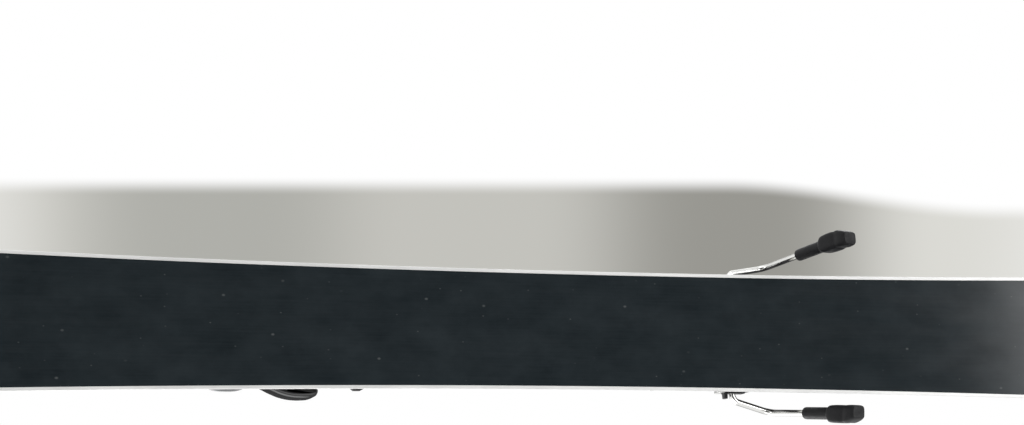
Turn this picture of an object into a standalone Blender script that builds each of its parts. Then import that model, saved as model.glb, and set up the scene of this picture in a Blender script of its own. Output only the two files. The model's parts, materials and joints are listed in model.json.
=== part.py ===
"""Alpine ski with its step-in binding and ski brake, as separate pieces.

The running surface lies at z = 0 under the boot, +X points to the ski's tip, +Y to its left side, and the
origin is the boot's middle. Every size is in millimetres; mesh_from and add_wire turn it into metres.
"""
import math

import bmesh
import bpy
from mathutils import Matrix, Vector

MM = 0.001
GAP = 0.3  # between pieces that touch
PAST = 1  # how far a cutter reaches past the faces it opens

# Ski outline, seen from above
WAIST_WIDTH = 72
WAIST_X = -34
SIDECUT_RADIUS = 14800
SHOVEL_X = 740  # front contact with the snow, where the tip starts to taper and rise
SHOVEL_LENGTH = 192
SHOVEL_POWERS = (0.77, 1.0)  # of the sine along the end and the cosine across it
TIP_FLAT = 10  # half width of the blunt end
HEEL_CONTACT_X = -690  # rear contact with the snow
TAIL_LENGTH = 80
TAIL_POWERS = (0.5, 0.5)
TAIL_FLAT = 25
FLAT_STATIONS = (25, 75, 112, 150)  # each way from the middle; the base is flat between the outermost
PLATE_STATIONS = (200, 250)  # more of them, where the ski carries the binding
SIDE_STEP = 55
END_STEPS = 12

# Ski profile, seen from the side
CAMBER = 4
TIP_RISE_RADIUS = 300
TAIL_RISE_RADIUS = 400
PLATE_ZONE = PLATE_STATIONS[-1]  # the top is flat this far from the boot's middle
THICK_MIDDLE = 16
THICK_SHOVEL = 9
THICK_TIP = 6.5
THICK_TAIL = 8.5
THICK_TAIL_END = 7.5

# Ski layers
BASE_THICK = 1.3
EDGE_SIZE = 2.0
EDGE_HEIGHT = 2.1
EDGE_FLANGE_REACH = 6.5
EDGE_FLANGE_LOW = 1.6
LAMINATE_THICK = 0.6
TOPSHEET_THICK = 0.8
SIDEWALL_INNER = 6.6
CORE_LOW = 3.3
CORE_COVER = 2.0  # from the core's top to the topsheet's top
LAMINATE_INSET = 0.4
SIDEWALL_INSET_LOW = 0.4
TOP_INSET = 1.7
TAIL_PROTECTOR_X = -739.5  # where the tail protector takes over from the running base
TAIL_PROTECTOR_GAP = 3
SPACER_GAP = 1  # between the core and the spacers at the ends

# Binding heights, and the boot it holds
SKI_TOP = THICK_MIDDLE
SOLE_HEIGHT = 31  # what the boot's sole stands on
TOE_LUG = 19
HEEL_LUG = 30
BOOT_HEEL_X = -153

# Countersunk mounting screws, and their holes in the ski and seats in the plates
SCREW_TIP_Z = 7.5
SCREW_HEAD_RADIUS = 4.6
SCREW_HEAD_RIM = 1.2
SCREW_HEAD_DEPTH = 3
SCREW_SHANK_RADIUS = 2.7
SCREW_POINT_LENGTH = 2
SCREW_POINT_RADIUS = 0.8
SCREW_HOLE_RADIUS = 3.0
SCREW_HOLE_FLOOR = 6
SCREW_SEAT = ((0, 5), (2.3, 5), (4.1, 3.1), (9, 3.1))  # depth and radius

# Toe piece
TOE_PLATE_THICK = 4
TOE_PLATE_OUTLINE = ((91.5, 30.6), (96, 34.6), (99, 36.2), (103, 36.2), (105, 34.6), (180, 34.6),
                     (201, 24), (213, 19), (217, 13))  # left half, with the lug seen past the edge
TOE_SCREWS = ((96.8, 21), (209, 12))
HOUSING_X = 178
HOUSING_HALF_LENGTH = 24
HOUSING_HALF_WIDTH = 36.8
HOUSING_FULLNESS = 2.6  # 2 is round, larger is squarer
HOUSING_TOP = 62.5
HOUSING_LEVELS = ((0.0, 0.975, 0.97), (0.03, 1.0, 1.0), (0.095, 1.0, 1.0), (0.13, 0.93, 0.98),
                  (0.40, 0.93, 0.99), (0.62, 0.905, 0.975), (0.77, 0.864, 0.94), (0.88, 0.735, 0.83),
                  (0.96, 0.535, 0.64), (1.0, 0.337, 0.44))  # shares of its height, width and length
TOE_LIP_X = (143, 165)
TOE_LIP_HALF = 14
TOE_LIP_THICK = 4.5
WING_PIN = (164, 24.5)
WING_POCKET_X = (143, 172.2)
WING_POCKET_Y = (16, 45)
WING_PIN_RADIUS = 3
WING_HUB_RADIUS = 7
WING_LOW = 24.6
WING_HIGH = 50
WING_LIP_TOP = 54.5
WING_ARM = ((164, 29.2), (156.5, 32.2), (150, 35.5), (144.5, 37.9), (138.6, 39.4), (132.6, 39.8),
            (126.5, 39.5), (122.8, 38.2), (122.4, 35.5), (130, 35.0), (138, 33.5), (146, 29.5),
            (150.5, 25.5), (158, 22))  # left wing from above, round the boot's toe
WING_ARM_LEVELS = ((WING_LOW, 0.985), (WING_LOW + 5, 1.0), (WING_HIGH - 7, 1.0), (WING_HIGH, 0.96))
WING_LIP = ((147, 36.6), (138.6, 39.2), (131, 39.4), (127, 38.2), (128, 33), (136, 27), (145, 22),
            (148.5, 24))
WING_LIP_LEVELS = ((WING_HIGH - 2, 0.97), (WING_LIP_TOP, 0.94))  # height and share of the width
WING_FINGER = ((164, 26.5), (160, 23.5), (163.5, 14), (166, 13), (167.5, 21.5))
WING_FINGER_Z = (34, 42)
TOE_BORE_Z = 38
TOE_BORE_RADIUS = 9.5
TOE_BORE_X = (171, 194)
TOE_SPRING_X = (172.8, 184.6)
TOE_SPRING_RADIUS = 6.6
TOE_SPRING_WIRE = 1.1
TOE_NUT_X = (186.2, 190)
TOE_NUT_RADIUS = 8.8
TOE_SCREW_X = (174, 197.3, 201)  # inner end, under the head, head's face
TOE_SCREW_RADIUS = 2.5
TOE_SCREW_HEAD = 4.8
TOE_SCREW_HOLE_RADIUS = 3
TOE_SCREW_HEAD_BORE = (196.8, 206)
TOE_WINDOW_X = (182, 192)
TOE_WINDOW_DEPTH = (5, 2.6)
CROSSHEAD_SPACE = ((158.5, 168), (-18, 18), (32, 44))
CROSSHEAD = ((161, 164.5), (-7.5, 7.5), (33, 43))
PISTON_ROD_X = (163, 179)
PISTON_ROD_RADIUS = 4
PISTON_BORE_X = (172, 180)
WINDOW_HALF = 4
CROSS_SLOT_DEPTH = 1.8
CROSS_SLOT_REACH = 3
CROSS_SLOT_HALF = 0.6

# Gliding plate under the boot's toe
AFD_FRAME_X = (102, 142)
AFD_FRAME_HALF = 30
AFD_SLIDER_X = (105, 139)
AFD_SLIDER_HALF = 24
AFD_FRAME_WALL = 2.6
AFD_FLOOR_THICK = 4
AFD_FOOT_INSET = 3.2
AFD_EDGE_ROUND = (2, 0.8)
AFD_RAIL_TOP = 28.5
AFD_CHANNEL_X = (118, 127)
AFD_CHANNEL_Y = (6, 30)
AFD_CHANNEL_DEPTH = 3.5
AFD_POST_Y = (26.6, 29.6)
AFD_POST_INSET = 0.6
AFD_POST_HEIGHT = 3
AFD_CUSHION_INSET = 1.5

# Heel piece
TRACK_HALF = 25
TRACK_OUTLINE = ((-245, 32.3), (-242, 35.3), (-233, 35.3), (-230, 28), (-227, 25), (-158, 25),
                 (-156, 23))  # left half
TRACK_THICK = 3.5
TRACK_SLOTS = 12
TRACK_SLOT_X = (-224, -222)  # the rearmost
TRACK_SLOT_HALF = 5
HEEL_SCREWS = ((-237.5, 24), (-162.5, 17))
HEEL_BASE_X = (-209, -148)
HEEL_BASE_OUTLINE = ((-209, 32.8), (-207, 33.9), (-190, 33.6), (-176.6, 33.2), (-162, 33.6),
                     (-153.5, 33.9), (-148, 35.0))
HEEL_BASE_TOP = 24.5
HEEL_NOSE_X = (-154, -120)
HEEL_NOSE_HALF = 6
CARRIAGE_X = (-228, -155)
CARRIAGE_HALF = 26
CARRIAGE_THICK = 3.5
CARRIAGE_CHEEK_Y = (24.3, 29)
CARRIAGE_CHEEK = ((-220, 24.8), (-170, 24.8), (-174, 36.8), (-186, 53), (-192, 59), (-200, 59),
                  (-206, 53), (-216, 36.8))  # from the side, round the axle
CARRIAGE_WALL_X = (-187, -183)
CARRIAGE_WALL_TOP = 36
CARRIAGE_TRAVEL = 7  # backwards, against the forward-pressure spring
LENGTH_BLOCK_X = (-209, -203)
LENGTH_BLOCK_HALF = 11.5
LENGTH_BLOCK_TOP = 35.5
LENGTH_SCREW_X = (-216, -176)
LENGTH_SCREW_Z = 23.1
LENGTH_SCREW_RADIUS = 2.8
LENGTH_SCREW_ROOM = 0.6
LENGTH_SCREW_HEAD = (4, 2.6)  # length and radius
LENGTH_SCREW_PITCH = 5  # as far apart as the track's slots
LENGTH_SCREW_THREADS = 6
LENGTH_SCREW_DEPTH = 0.9
LENGTH_SCREW_FLANKS = (0, 1.2, 2.4, 3.6)
LENGTH_SCREW_SLOT = (1.5, 0.6)  # depth and half width
PRESSURE_SPRING_Z = 31.6
PRESSURE_SPRING_RADIUS = 3.0
PRESSURE_SPRING_WIRE = 0.8
AXLE_X = -196
AXLE_Z = 48
AXLE_RADIUS = 4
JAW_HALF = 23.6
CUP_HALF = 28.5
CUP_RADIUS = 36
CUP_TOP = SOLE_HEIGHT + HEEL_LUG + 0.5
CUP_FLOOR = SOLE_HEIGHT - 0.6
JAW_TOP = 89
JAW_BODY = ((-158, 76), (-172, 84.5), (-184, 88), (-204, 89), (-222, 87), (-228.5, 77), (-230, 64),
            (-228.5, 58.2), (-206, 47), (-202, 40), (-196, 38), (-181, 38.2), (-176, 29.5),
            (-158, 29.5))  # from the side
JAW_CUP = ((-141, 60.5), (-140.5, 65.5), (-146, 70), (-156, 79), (-171.5, 85), (-171.5, 40),
           (-166, 33), (-154.4, 29.3), (-154.4, 26.8), (-145, 26.8), (-143.6, 30), (-143.6, 36))
JAW_CAM_SPACE = ((-189, -176), (-7, 7), (50, 68))
HEEL_BORE_Z = 68
HEEL_BORE_RADIUS = 10.5
HEEL_BORE_X = (-222, -162)
HEEL_SCREW_HEAD_BORE = (-234, -225.8)
HEEL_PISTON_X = (-172, -163)
HEEL_PISTON_NOSE = (1, 1.5)  # its length and how much it narrows
HEEL_SPRING_X = (-196.3, -174.3)
HEEL_SPRING_RADIUS = 7.6
HEEL_SPRING_WIRE = 1.5
HEEL_NUT_X = (-203, -198.5)
HEEL_SCREW_X = (-230, -226, -180)  # head's face, under the head, inner end
HEEL_SCREW_RADIUS = 3
HEEL_SCREW_HEAD = 5.5
HEEL_WINDOW_X = (-205, -193)
HEEL_WINDOW_DEPTH = (4.4, 2.2)
LEVER_PIN = (-216, 84.4)
LEVER_PIN_RADIUS = 2
LEVER_HUB_RADIUS = 4.2
LEVER_HUB_HALF = 9
LEVER_SPACE_X = (-240, -208.5)
LEVER_HALF = 16.5
LEVER_BLADE = ((-209, 90.8), (-224, 90.5), (-240, 95.5), (-262, 104), (-263, 108), (-256, 108.5),
               (-244, 101.5), (-228, 99), (-209, 97))  # from the side
LEVER_NECK = ((-211.8, 86.4), (-211.8, 92), (-221, 92), (-220.2, 86.4))
LEVER_DISH = ((-256, 110), (-236, 110), (-238, 98.6), (-253, 102.2))  # hollow for a pole's tip
LEVER_DISH_HALF = 8

# Ski brake
BRAKE_PIVOT = (-139.2, 36.3, 21.0)
BRAKE_AXIS = (-0.10, 0.985, 0.05)  # left arm; tilted, so that the arms draw in as they rise
WIRE_RADIUS = 2
CRANK_RADIUS = 17.5
CRANK_ANGLE = 60.5
CRANK_INNER_Y = 9
CRANK_Y = 16
ARM_CORNER_Y = 40.0
ARM_BEND_RADIUS = 6.0
ARM_ELBOW = (-169.3, 46.2, 33.4)
FOOT_END = (-192.3, 54.2, -47.6)
FOOT_LENGTH = 49
WIRE_IN_FOOT = 30
# Distance along the arm; reach inboard, outboard, forwards and backwards; squareness
FOOT_LEVELS = ((0.0, 2.7, 2.7, 2.7, 2.7, 2.0), (1.6, 3.8, 3.8, 3.8, 3.8, 2.0),
               (23.5, 3.8, 3.8, 4.0, 4.0, 2.0), (24.7, 4.4, 5.4, 4.6, 5.0, 3.0),
               (27.0, 5.0, 6.0, 4.8, 6.0, 4.0), (35.0, 5.2, 6.0, 4.8, 7.0, 4.5),
               (39.5, 4.8, 5.6, 4.2, 6.4, 4.5), (43.0, 5.2, 5.3, 4.8, 6.8, 4.5),
               (47.3, 5.2, 4.0, 4.4, 6.0, 3.6), (49.0, 4.4, 2.8, 3.4, 4.2, 3.0))
BRACKET_X = (-147.6, -84)
BRACKET_HALF = 34
BRACKET_THICK = 1.5
BRACKET_WINDOW_X = (-150, -94)  # open behind, so that the bracket slides past the track
BRACKET_WINDOW_HALF = 26
BRACKET_EAR_X = (-132.8, -129.2)
BRACKET_EAR_Y = (32.5, 35.4)
BRACKET_EAR_TOP = 26
PEDAL_EAR = ((-93, 16.3), (-84, 16.3), (-84, 25.3), (-86, 29.5), (-90, 29.5), (-93, 24.3))  # from the side
PEDAL_EAR_Y = (31.4, 33.2)
BLOCK_X = (-147, -133.1)
BLOCK_WALL_X = -135.4
BLOCK_INNER_Y = 29.5
BLOCK_OUTER_Y = 35.8
BLOCK_WALL_Y = (32.5, 39.0)
BLOCK_BORE_REACH = (14, 6)
BLOCK_TOP = 24.6
BLOCK_WALL_TOP = 22.6
PEDAL_PIN = (-88, 26.3)
PEDAL_PIN_RADIUS = 1.6
PEDAL_PIN_HALF = 33.6
PEDAL_HALF = 31
PEDAL_TILT = 18.5
PEDAL_PLATE = ((-3, 1.0), (-3, 3), (-0.5, 4.4), (42, 4.4), (43.5, 2.9), (43.5, 0.4), (42.5, 0),
               (3.5, 0))  # from the side with the pedal flat: how far behind its pin and above it
PEDAL_SPRING_ROOM = ((-6, -6), (5.4, -6), (5.4, 6), (-6, 6))
PEDAL_SPRING_ROOM_HALF = 11
PEDAL_KNUCKLE_Y = (12, 30)
PEDAL_KNUCKLE_RADIUS = 3.4
BRAKE_SPRING_RADIUS = 3.0
BRAKE_SPRING_WIRE = 0.7
BRAKE_SPRING_HALF = 7.5

# Colour, roughness and metallic value of each finish
FINISHES = {
    "running base": ((0.018, 0.021, 0.023), 0.38, 0.0),
    "edge steel": ((0.62, 0.62, 0.61), 0.28, 1.0),
    "white sidewall": ((0.83, 0.83, 0.81), 0.45, 0.0),
    "laminate": ((0.42, 0.40, 0.33), 0.60, 0.0),
    "core wood": ((0.62, 0.44, 0.25), 0.70, 0.0),
    "topsheet": ((0.80, 0.80, 0.79), 0.25, 0.0),
    "black plastic": ((0.015, 0.015, 0.016), 0.42, 0.0),
    "gloss black": ((0.012, 0.012, 0.013), 0.16, 0.0),
    "grey plastic": ((0.16, 0.165, 0.17), 0.35, 0.3),
    "chrome wire": ((0.72, 0.72, 0.70), 0.14, 1.0),
    "plated steel": ((0.50, 0.50, 0.49), 0.32, 1.0),
    "aluminium": ((0.55, 0.56, 0.57), 0.30, 1.0),
    "spring steel": ((0.20, 0.20, 0.21), 0.35, 1.0),
    "glide plastic": ((0.78, 0.78, 0.76), 0.30, 0.0),
    "rubber": ((0.02, 0.02, 0.02), 0.75, 0.0),
    "clear window": ((0.75, 0.78, 0.80), 0.08, 0.0),
    "orange marker": ((0.80, 0.22, 0.03), 0.40, 0.0),
}

# Where each moving body's pieces turn or slide; the ski itself turns about nothing
PIVOTS = {
    "ski": (0, 0, 0),
    "toe_wing_left": (WING_PIN[0], WING_PIN[1], WING_LOW),
    "toe_wing_right": (WING_PIN[0], -WING_PIN[1], WING_LOW),
    "toe_screw": (TOE_SCREW_X[1], 0, TOE_BORE_Z),
    "toe_nut": (TOE_NUT_X[0], 0, TOE_BORE_Z),
    "afd_slider": (sum(AFD_SLIDER_X) / 2, 0, SOLE_HEIGHT),
    "heel_base": (HEEL_BASE_X[0], 0, HEEL_BASE_TOP),
    "length_screw": (LENGTH_SCREW_X[0], 0, LENGTH_SCREW_Z),
    "heel_carriage": (CARRIAGE_X[0], 0, HEEL_BASE_TOP),
    "heel_jaw": (AXLE_X, 0, AXLE_Z),
    "heel_lever": (LEVER_PIN[0], 0, LEVER_PIN[1]),
    "heel_screw": (HEEL_SCREW_X[1], 0, HEEL_BORE_Z),
    "heel_nut": (HEEL_NUT_X[0], 0, HEEL_BORE_Z),
    "brake_arm_left": BRAKE_PIVOT,
    "brake_arm_right": (BRAKE_PIVOT[0], -BRAKE_PIVOT[1], BRAKE_PIVOT[2]),
    "brake_pedal": (PEDAL_PIN[0], 0, PEDAL_PIN[1]),
}
CARRIED_BY = {
    "length_screw": "heel_base",
    "heel_carriage": "heel_base",
    "heel_jaw": "heel_carriage",
    "heel_lever": "heel_jaw",
    "heel_screw": "heel_jaw",
    "heel_nut": "heel_jaw",
    "brake_arm_left": "heel_base",
    "brake_arm_right": "heel_base",
    "brake_pedal": "heel_base",
}
SIDES = {"left": 1, "right": -1}
bodies = {}


# Scene and objects

def clear_scene():
    for old in list(bpy.data.objects):
        bpy.data.objects.remove(old, do_unlink=True)


def make_bodies():
    """One empty for each body, on its joint's axis."""
    for body, pivot in PIVOTS.items():
        empty = bpy.data.objects.new("pivot_" + body, None)
        empty.empty_display_size = 10 * MM
        bpy.context.scene.collection.objects.link(empty)
        carrier = CARRIED_BY.get(body, "ski" if body != "ski" else None)
        if carrier:
            empty.parent = bodies[carrier]
            empty.location = (Vector(pivot) - Vector(PIVOTS[carrier])) * MM
        bodies[body] = empty


def make_material(name, finish):
    colour, roughness, metallic = FINISHES[finish]
    made = bpy.data.materials.new(name)
    made.use_nodes = True
    shader = made.node_tree.nodes["Principled BSDF"]
    shader.inputs["Base Color"].default_value = (*colour, 1)
    shader.inputs["Roughness"].default_value = roughness
    shader.inputs["Metallic"].default_value = metallic
    made.diffuse_color = (*colour, 1)
    return made


def place(piece, body):
    """Hang a piece on its body's empty."""
    piece.parent = bodies[body]
    bpy.context.scene.collection.objects.link(piece)


def mesh_from(name, shape, pivot=(0, 0, 0)):
    """A mesh in metres, measured from its pivot."""
    points, faces = shape
    mesh = bpy.data.meshes.new(name)
    mesh.from_pydata([(Vector(p) - Vector(pivot)) * MM for p in points], [], faces)
    work = bmesh.new()
    work.from_mesh(mesh)
    bmesh.ops.recalc_face_normals(work, faces=work.faces)
    work.to_mesh(mesh)
    work.free()
    return mesh


def add_piece(name, shape, finish, body="ski", round_over=0.0, smooth=False):
    """A solid piece; round_over bevels its sharp corners by that much."""
    mesh = mesh_from(name, shape, PIVOTS[body])
    piece = bpy.data.objects.new(name, mesh)
    mesh.materials.append(make_material(name, finish))
    if smooth:
        mesh.shade_smooth()
        mesh.set_sharp_from_angle(angle=math.radians(35))
    place(piece, body)
    if round_over:
        bevel = piece.modifiers.new("round_over", "BEVEL")
        bevel.width = round_over * MM
        bevel.segments = 1
        bevel.limit_method = "ANGLE"
        bevel.angle_limit = math.radians(40)
    return piece


def add_wire(name, points, radius, finish, body, sides=2):
    """A round wire through points, with flat ends; sides 1 gives 6 faces round it and 2 gives 8."""
    pivot = Vector(PIVOTS[body])
    curve = bpy.data.curves.new(name, "CURVE")
    curve.dimensions = "3D"
    curve.bevel_depth = radius * MM
    curve.bevel_resolution = sides
    curve.use_fill_caps = True
    spline = curve.splines.new("POLY")
    spline.points.add(len(points) - 1)
    for knot, point in zip(spline.points, points):
        knot.co = (*((Vector(point) - pivot) * MM), 1)
    curve.materials.append(make_material(name, finish))
    piece = bpy.data.objects.new(name, curve)
    place(piece, body)
    return piece


def shape_with(piece, tool_name, shape, operation):
    """Join a hidden tool shape to a piece, or cut it away."""
    tool = bpy.data.objects.new(tool_name, mesh_from(tool_name, shape))
    tool.hide_render = True
    tool.display_type = "WIRE"
    bpy.context.scene.collection.objects.link(tool)
    change = piece.modifiers.new(tool_name, "BOOLEAN")
    change.operation = operation
    change.solver = "EXACT"
    change.object = tool


def cut(piece, tool_name, shape):
    shape_with(piece, "cutter_" + tool_name, shape, "DIFFERENCE")


def join(piece, tool_name, shape):
    shape_with(piece, "joined_" + tool_name, shape, "UNION")


# Shapes, as points and faces

def merge(*shapes):
    points, faces = [], []
    for more_points, more_faces in shapes:
        start = len(points)
        points += more_points
        faces += [[start + i for i in face] for face in more_faces]
    return points, faces


def loft(sections):
    """Join closed sections of equal length, with both ends capped."""
    count = len(sections[0])
    points = [point for section in sections for point in section]
    faces = [list(range(count))]
    for row in range(len(sections) - 1):
        for i in range(count):
            a = row * count + i
            b = row * count + (i + 1) % count
            faces.append([a, b, b + count, a + count])
    last = (len(sections) - 1) * count
    faces.append([last + i for i in reversed(range(count))])
    return points, faces


def box(x, y, z):
    """A box between pairs of x, y and z."""
    corners = [(x[0], y[0]), (x[1], y[0]), (x[1], y[1]), (x[0], y[1])]
    return upright(corners, *z)


def box_each_side(x, y, z):
    """A pair of boxes, one on each side of the ski; y is the left one's."""
    return merge(box(x, y, z), box(x, (-y[1], -y[0]), z))


def upright(outline, low, high):
    """An outline in x and y, raised from low to high."""
    return loft([[(x, y, low) for x, y in outline], [(x, y, high) for x, y in outline]])


def sideways(profile, left, right):
    """A profile in x and z, drawn across the ski between two y."""
    return loft([[(x, left, z) for x, z in profile], [(x, right, z) for x, z in profile]])


def full_outline(half):
    """A closed outline from its left half."""
    return list(half) + [(x, -y) for x, y in reversed(half)]


def circle(radius, count, centre=(0, 0)):
    turns = [2 * math.pi * i / count for i in range(count)]
    return [(centre[0] + radius * math.cos(t), centre[1] + radius * math.sin(t)) for t in turns]


def frame_along(direction, up=(0, 0, 1)):
    """Two unit vectors square to a direction."""
    along = Vector(direction).normalized()
    side = along.cross(Vector(up))
    if side.length < 1e-6:
        side = along.cross(Vector((1, 0, 0)))
    side.normalize()
    return side, side.cross(along)


def turned(start, direction, profile, count=16):
    """A turned shape: profile lists distance along the direction and radius."""
    start = Vector(start)
    along = Vector(direction).normalized()
    side, other = frame_along(direction)
    sections = []
    for distance, radius in profile:
        centre = start + along * distance
        sections.append([tuple(centre + side * u + other * v) for u, v in circle(radius, count)])
    return loft(sections)


def rod(start, end, radius, count=16):
    start, end = Vector(start), Vector(end)
    return turned(start, end - start, [(0, radius), ((end - start).length, radius)], count)


def along_x(x, z, radius, count=16):
    """A rod in the ski's middle between a pair of x."""
    return rod((x[0], 0, z), (x[1], 0, z), radius, count)


def across(x, z, half, radius, count=16):
    """A rod across the ski, as far to each side of its middle as half."""
    return rod((x, -half, z), (x, half, z), radius, count)


def beyond(x):
    """A pair of x with PAST added at each end."""
    return x[0] - PAST, x[1] + PAST


def coil_points(start, end, radius, turns, per_turn=9, phase=0.0):
    """Points along a helix between two ends of its axis."""
    start, end = Vector(start), Vector(end)
    side, other = frame_along(end - start)
    points = []
    for i in range(turns * per_turn + 1):
        angle = 2 * math.pi * i / per_turn + phase
        centre = start.lerp(end, i / (turns * per_turn))
        outward = side * math.cos(angle) + other * math.sin(angle)
        points.append(tuple(centre + outward * radius))
    return points


def least_gap(name, points, diameter, per_turn=9):
    """Print how close a coil comes to itself."""
    knots = [Vector(p) for p in points]
    near = per_turn * 2 // 3
    gaps = [(a - b).length for i, a in enumerate(knots) for b in knots[i + near:]]
    print("least gap of", name, round(min(gaps) - diameter, 2), "mm")


def rounded_path(corners, radius, steps=4):
    """A path through corners, each turned with an arc of the given radius."""
    knots = [Vector(c) for c in corners]
    path = [knots[0]]
    for before, corner, after in zip(knots, knots[1:], knots[2:]):
        towards_start = (before - corner).normalized()
        towards_end = (after - corner).normalized()
        half = towards_start.angle(towards_end) / 2
        shorter = min((before - corner).length, (after - corner).length)
        setback = min(radius / math.tan(half), shorter * 0.45)
        bend = setback * math.tan(half)
        centre = corner + (towards_start + towards_end).normalized() * (bend / math.sin(half))
        first = corner + towards_start * setback - centre
        turn = math.pi - 2 * half
        axis = towards_start.cross(towards_end)
        for i in range(steps + 1):
            path.append(centre + Matrix.Rotation(-turn * i / steps, 3, axis) @ first)
    path.append(knots[-1])
    return [tuple(p) for p in path]


def mirrored(points, side):
    return [(x, y * side, z) for x, y, z in points]


# Ski outline and heights

def sidecut(x):
    return WAIST_WIDTH / 2 + (x - WAIST_X) ** 2 / (2 * SIDECUT_RADIUS)


def ease(share):
    share = min(max(share, 0.0), 1.0)
    return share * share * (3 - 2 * share)


def base_height(x):
    """Height of the running surface: flat under the boot, cambered, and turned up at both ends."""
    flat = FLAT_STATIONS[-1]
    if x > SHOVEL_X:
        return -CAMBER + (x - SHOVEL_X) ** 2 / (2 * TIP_RISE_RADIUS)
    if x < HEEL_CONTACT_X:
        return -CAMBER + (HEEL_CONTACT_X - x) ** 2 / (2 * TAIL_RISE_RADIUS)
    if x > flat:
        return -CAMBER * ease((x - flat) / (SHOVEL_X - flat))
    if x < -flat:
        return -CAMBER * ease((-flat - x) / (-flat - HEEL_CONTACT_X))
    return 0.0


def thickness(x):
    """Base to topsheet; the top stays flat under the binding."""
    if abs(x) <= PLATE_ZONE:
        return THICK_MIDDLE - base_height(x)
    if x > SHOVEL_X:
        share = (x - SHOVEL_X) / SHOVEL_LENGTH
        return THICK_SHOVEL + (THICK_TIP - THICK_SHOVEL) * share
    if x < HEEL_CONTACT_X:
        share = (HEEL_CONTACT_X - x) / TAIL_LENGTH
        return THICK_TAIL + (THICK_TAIL_END - THICK_TAIL) * share
    contact, end = (SHOVEL_X, THICK_SHOVEL) if x > 0 else (HEEL_CONTACT_X, THICK_TAIL)
    start = math.copysign(PLATE_ZONE, x)
    full = THICK_MIDDLE - base_height(start)
    return full + (end - full) * ease((x - start) / (contact - start))


def tapered_end(contact, length, powers, flat, steps):
    """Half outline of a rounded end, from its contact point outwards."""
    along_power, across_power = powers
    wide = sidecut(contact + length)
    last = math.acos((flat / wide) ** (1 / across_power))
    points = []
    for i in range(steps + 1):
        angle = last * i / steps
        x = contact + length * math.sin(angle) ** along_power
        points.append((x, sidecut(x) * math.cos(angle) ** across_power))
    return points


def between(first, last):
    """Stations between two x, about SIDE_STEP apart."""
    count = round((last - first) / SIDE_STEP)
    return [first + (last - first) * i / count for i in range(1, count)]


def ski_outline():
    """Half outline from the tail's end to the tip's end, on the left side."""
    tail = tapered_end(HEEL_CONTACT_X, -TAIL_LENGTH, TAIL_POWERS, TAIL_FLAT, END_STEPS * 2 // 3)
    tip = tapered_end(SHOVEL_X, SHOVEL_LENGTH, SHOVEL_POWERS, TIP_FLAT, END_STEPS)
    stations = sorted(side * x for x in FLAT_STATIONS + PLATE_STATIONS for side in (-1, 1))
    rear = between(HEEL_CONTACT_X, -PLATE_ZONE)
    front = between(PLATE_ZONE, SHOVEL_X)
    middle = [(x, sidecut(x)) for x in rear + stations + front]
    return list(reversed(tail)) + middle + tip


def drawn_in(outline, inset):
    """The outline moved inwards by inset, square to itself."""
    first, last = outline[0], outline[-1]
    closed = [(first[0], -first[1])] + outline + [(last[0], -last[1])]
    moved = []
    for before, here, after in zip(closed, closed[1:], closed[2:]):
        into = Vector((here[0] - before[0], here[1] - before[1])).normalized()
        out = Vector((after[0] - here[0], after[1] - here[1])).normalized()
        normal = Vector((into.y + out.y, -into.x - out.x)).normalized()
        stretch = 1 / max(normal.dot(Vector((into.y, -into.x))), 0.5)
        moved.append((here[0] + normal.x * inset * stretch, here[1] + normal.y * inset * stretch))
    return moved


def clipped(points, x_low, x_high):
    """The part of a half outline between two x, with new points exactly at them."""
    kept = []
    for (x0, y0), (x1, y1) in zip(points, points[1:]):
        for x_cut in (x_low, x_high):
            if x_cut is not None and min(x0, x1) < x_cut < max(x0, x1):
                share = (x_cut - x0) / (x1 - x0)
                kept.append((x_cut, y0 + (y1 - y0) * share))
        inside = (x_low is None or x1 >= x_low) and (x_high is None or x1 <= x_high)
        if inside:
            kept.append((x1, y1))
    x0, y0 = points[0]
    if (x_low is None or x0 >= x_low) and (x_high is None or x0 <= x_high):
        kept.insert(0, (x0, y0))
    return kept


def layer(outline, profile, x_low=None, x_high=None):
    """A full-width layer: profile lists inset and a height above the base, from below to above."""
    rows = [clipped(drawn_in(outline, inset), x_low, x_high) for inset, _ in profile]
    sections = []
    for i in range(len(rows[0])):
        side = []
        for row, (_, height) in zip(rows, profile):
            x, y = row[i]
            side.append((x, y, base_height(x) + height(x)))
        sections.append(side + [(x, -y, z) for x, y, z in reversed(side)])
    return loft(sections)


def strip(outline, profile, side, first, last, close_at_tip=False):
    """A strip that follows one side of the outline between two of its stations."""
    rows = [drawn_in(outline, inset) for inset, _ in profile]
    sections = []
    for i in range(first, last + 1):
        section = []
        for row, (_, height) in zip(rows, profile):
            x, y = row[i]
            section.append((x, y * side, base_height(x) + height(x)))
        sections.append(section)
    if close_at_tip:
        tip = []
        for (inset, height) in profile:
            x = outline[last][0] - inset
            tip.append((x, GAP / 2 * side, base_height(x) + height(x)))
        sections.append(tip)
    return loft(sections)


def at(height):
    return lambda x: height


def below_top(depth):
    return lambda x: thickness(x) - depth


def station(outline, x):
    """The index of the outline's station nearest to x on the side."""
    return min(range(len(outline)), key=lambda i: abs(outline[i][0] - x))


# Ski pieces

def screw_holes():
    """Cutter for the binding screws' holes through the ski's upper layers."""
    places = [(x, y * side) for x, y in TOE_SCREWS + HEEL_SCREWS for side in (1, -1)]
    return merge(*[rod((x, y, SCREW_HOLE_FLOOR), (x, y, SKI_TOP + 2 * PAST), SCREW_HOLE_RADIUS, 10)
                   for x, y in places])


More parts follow.
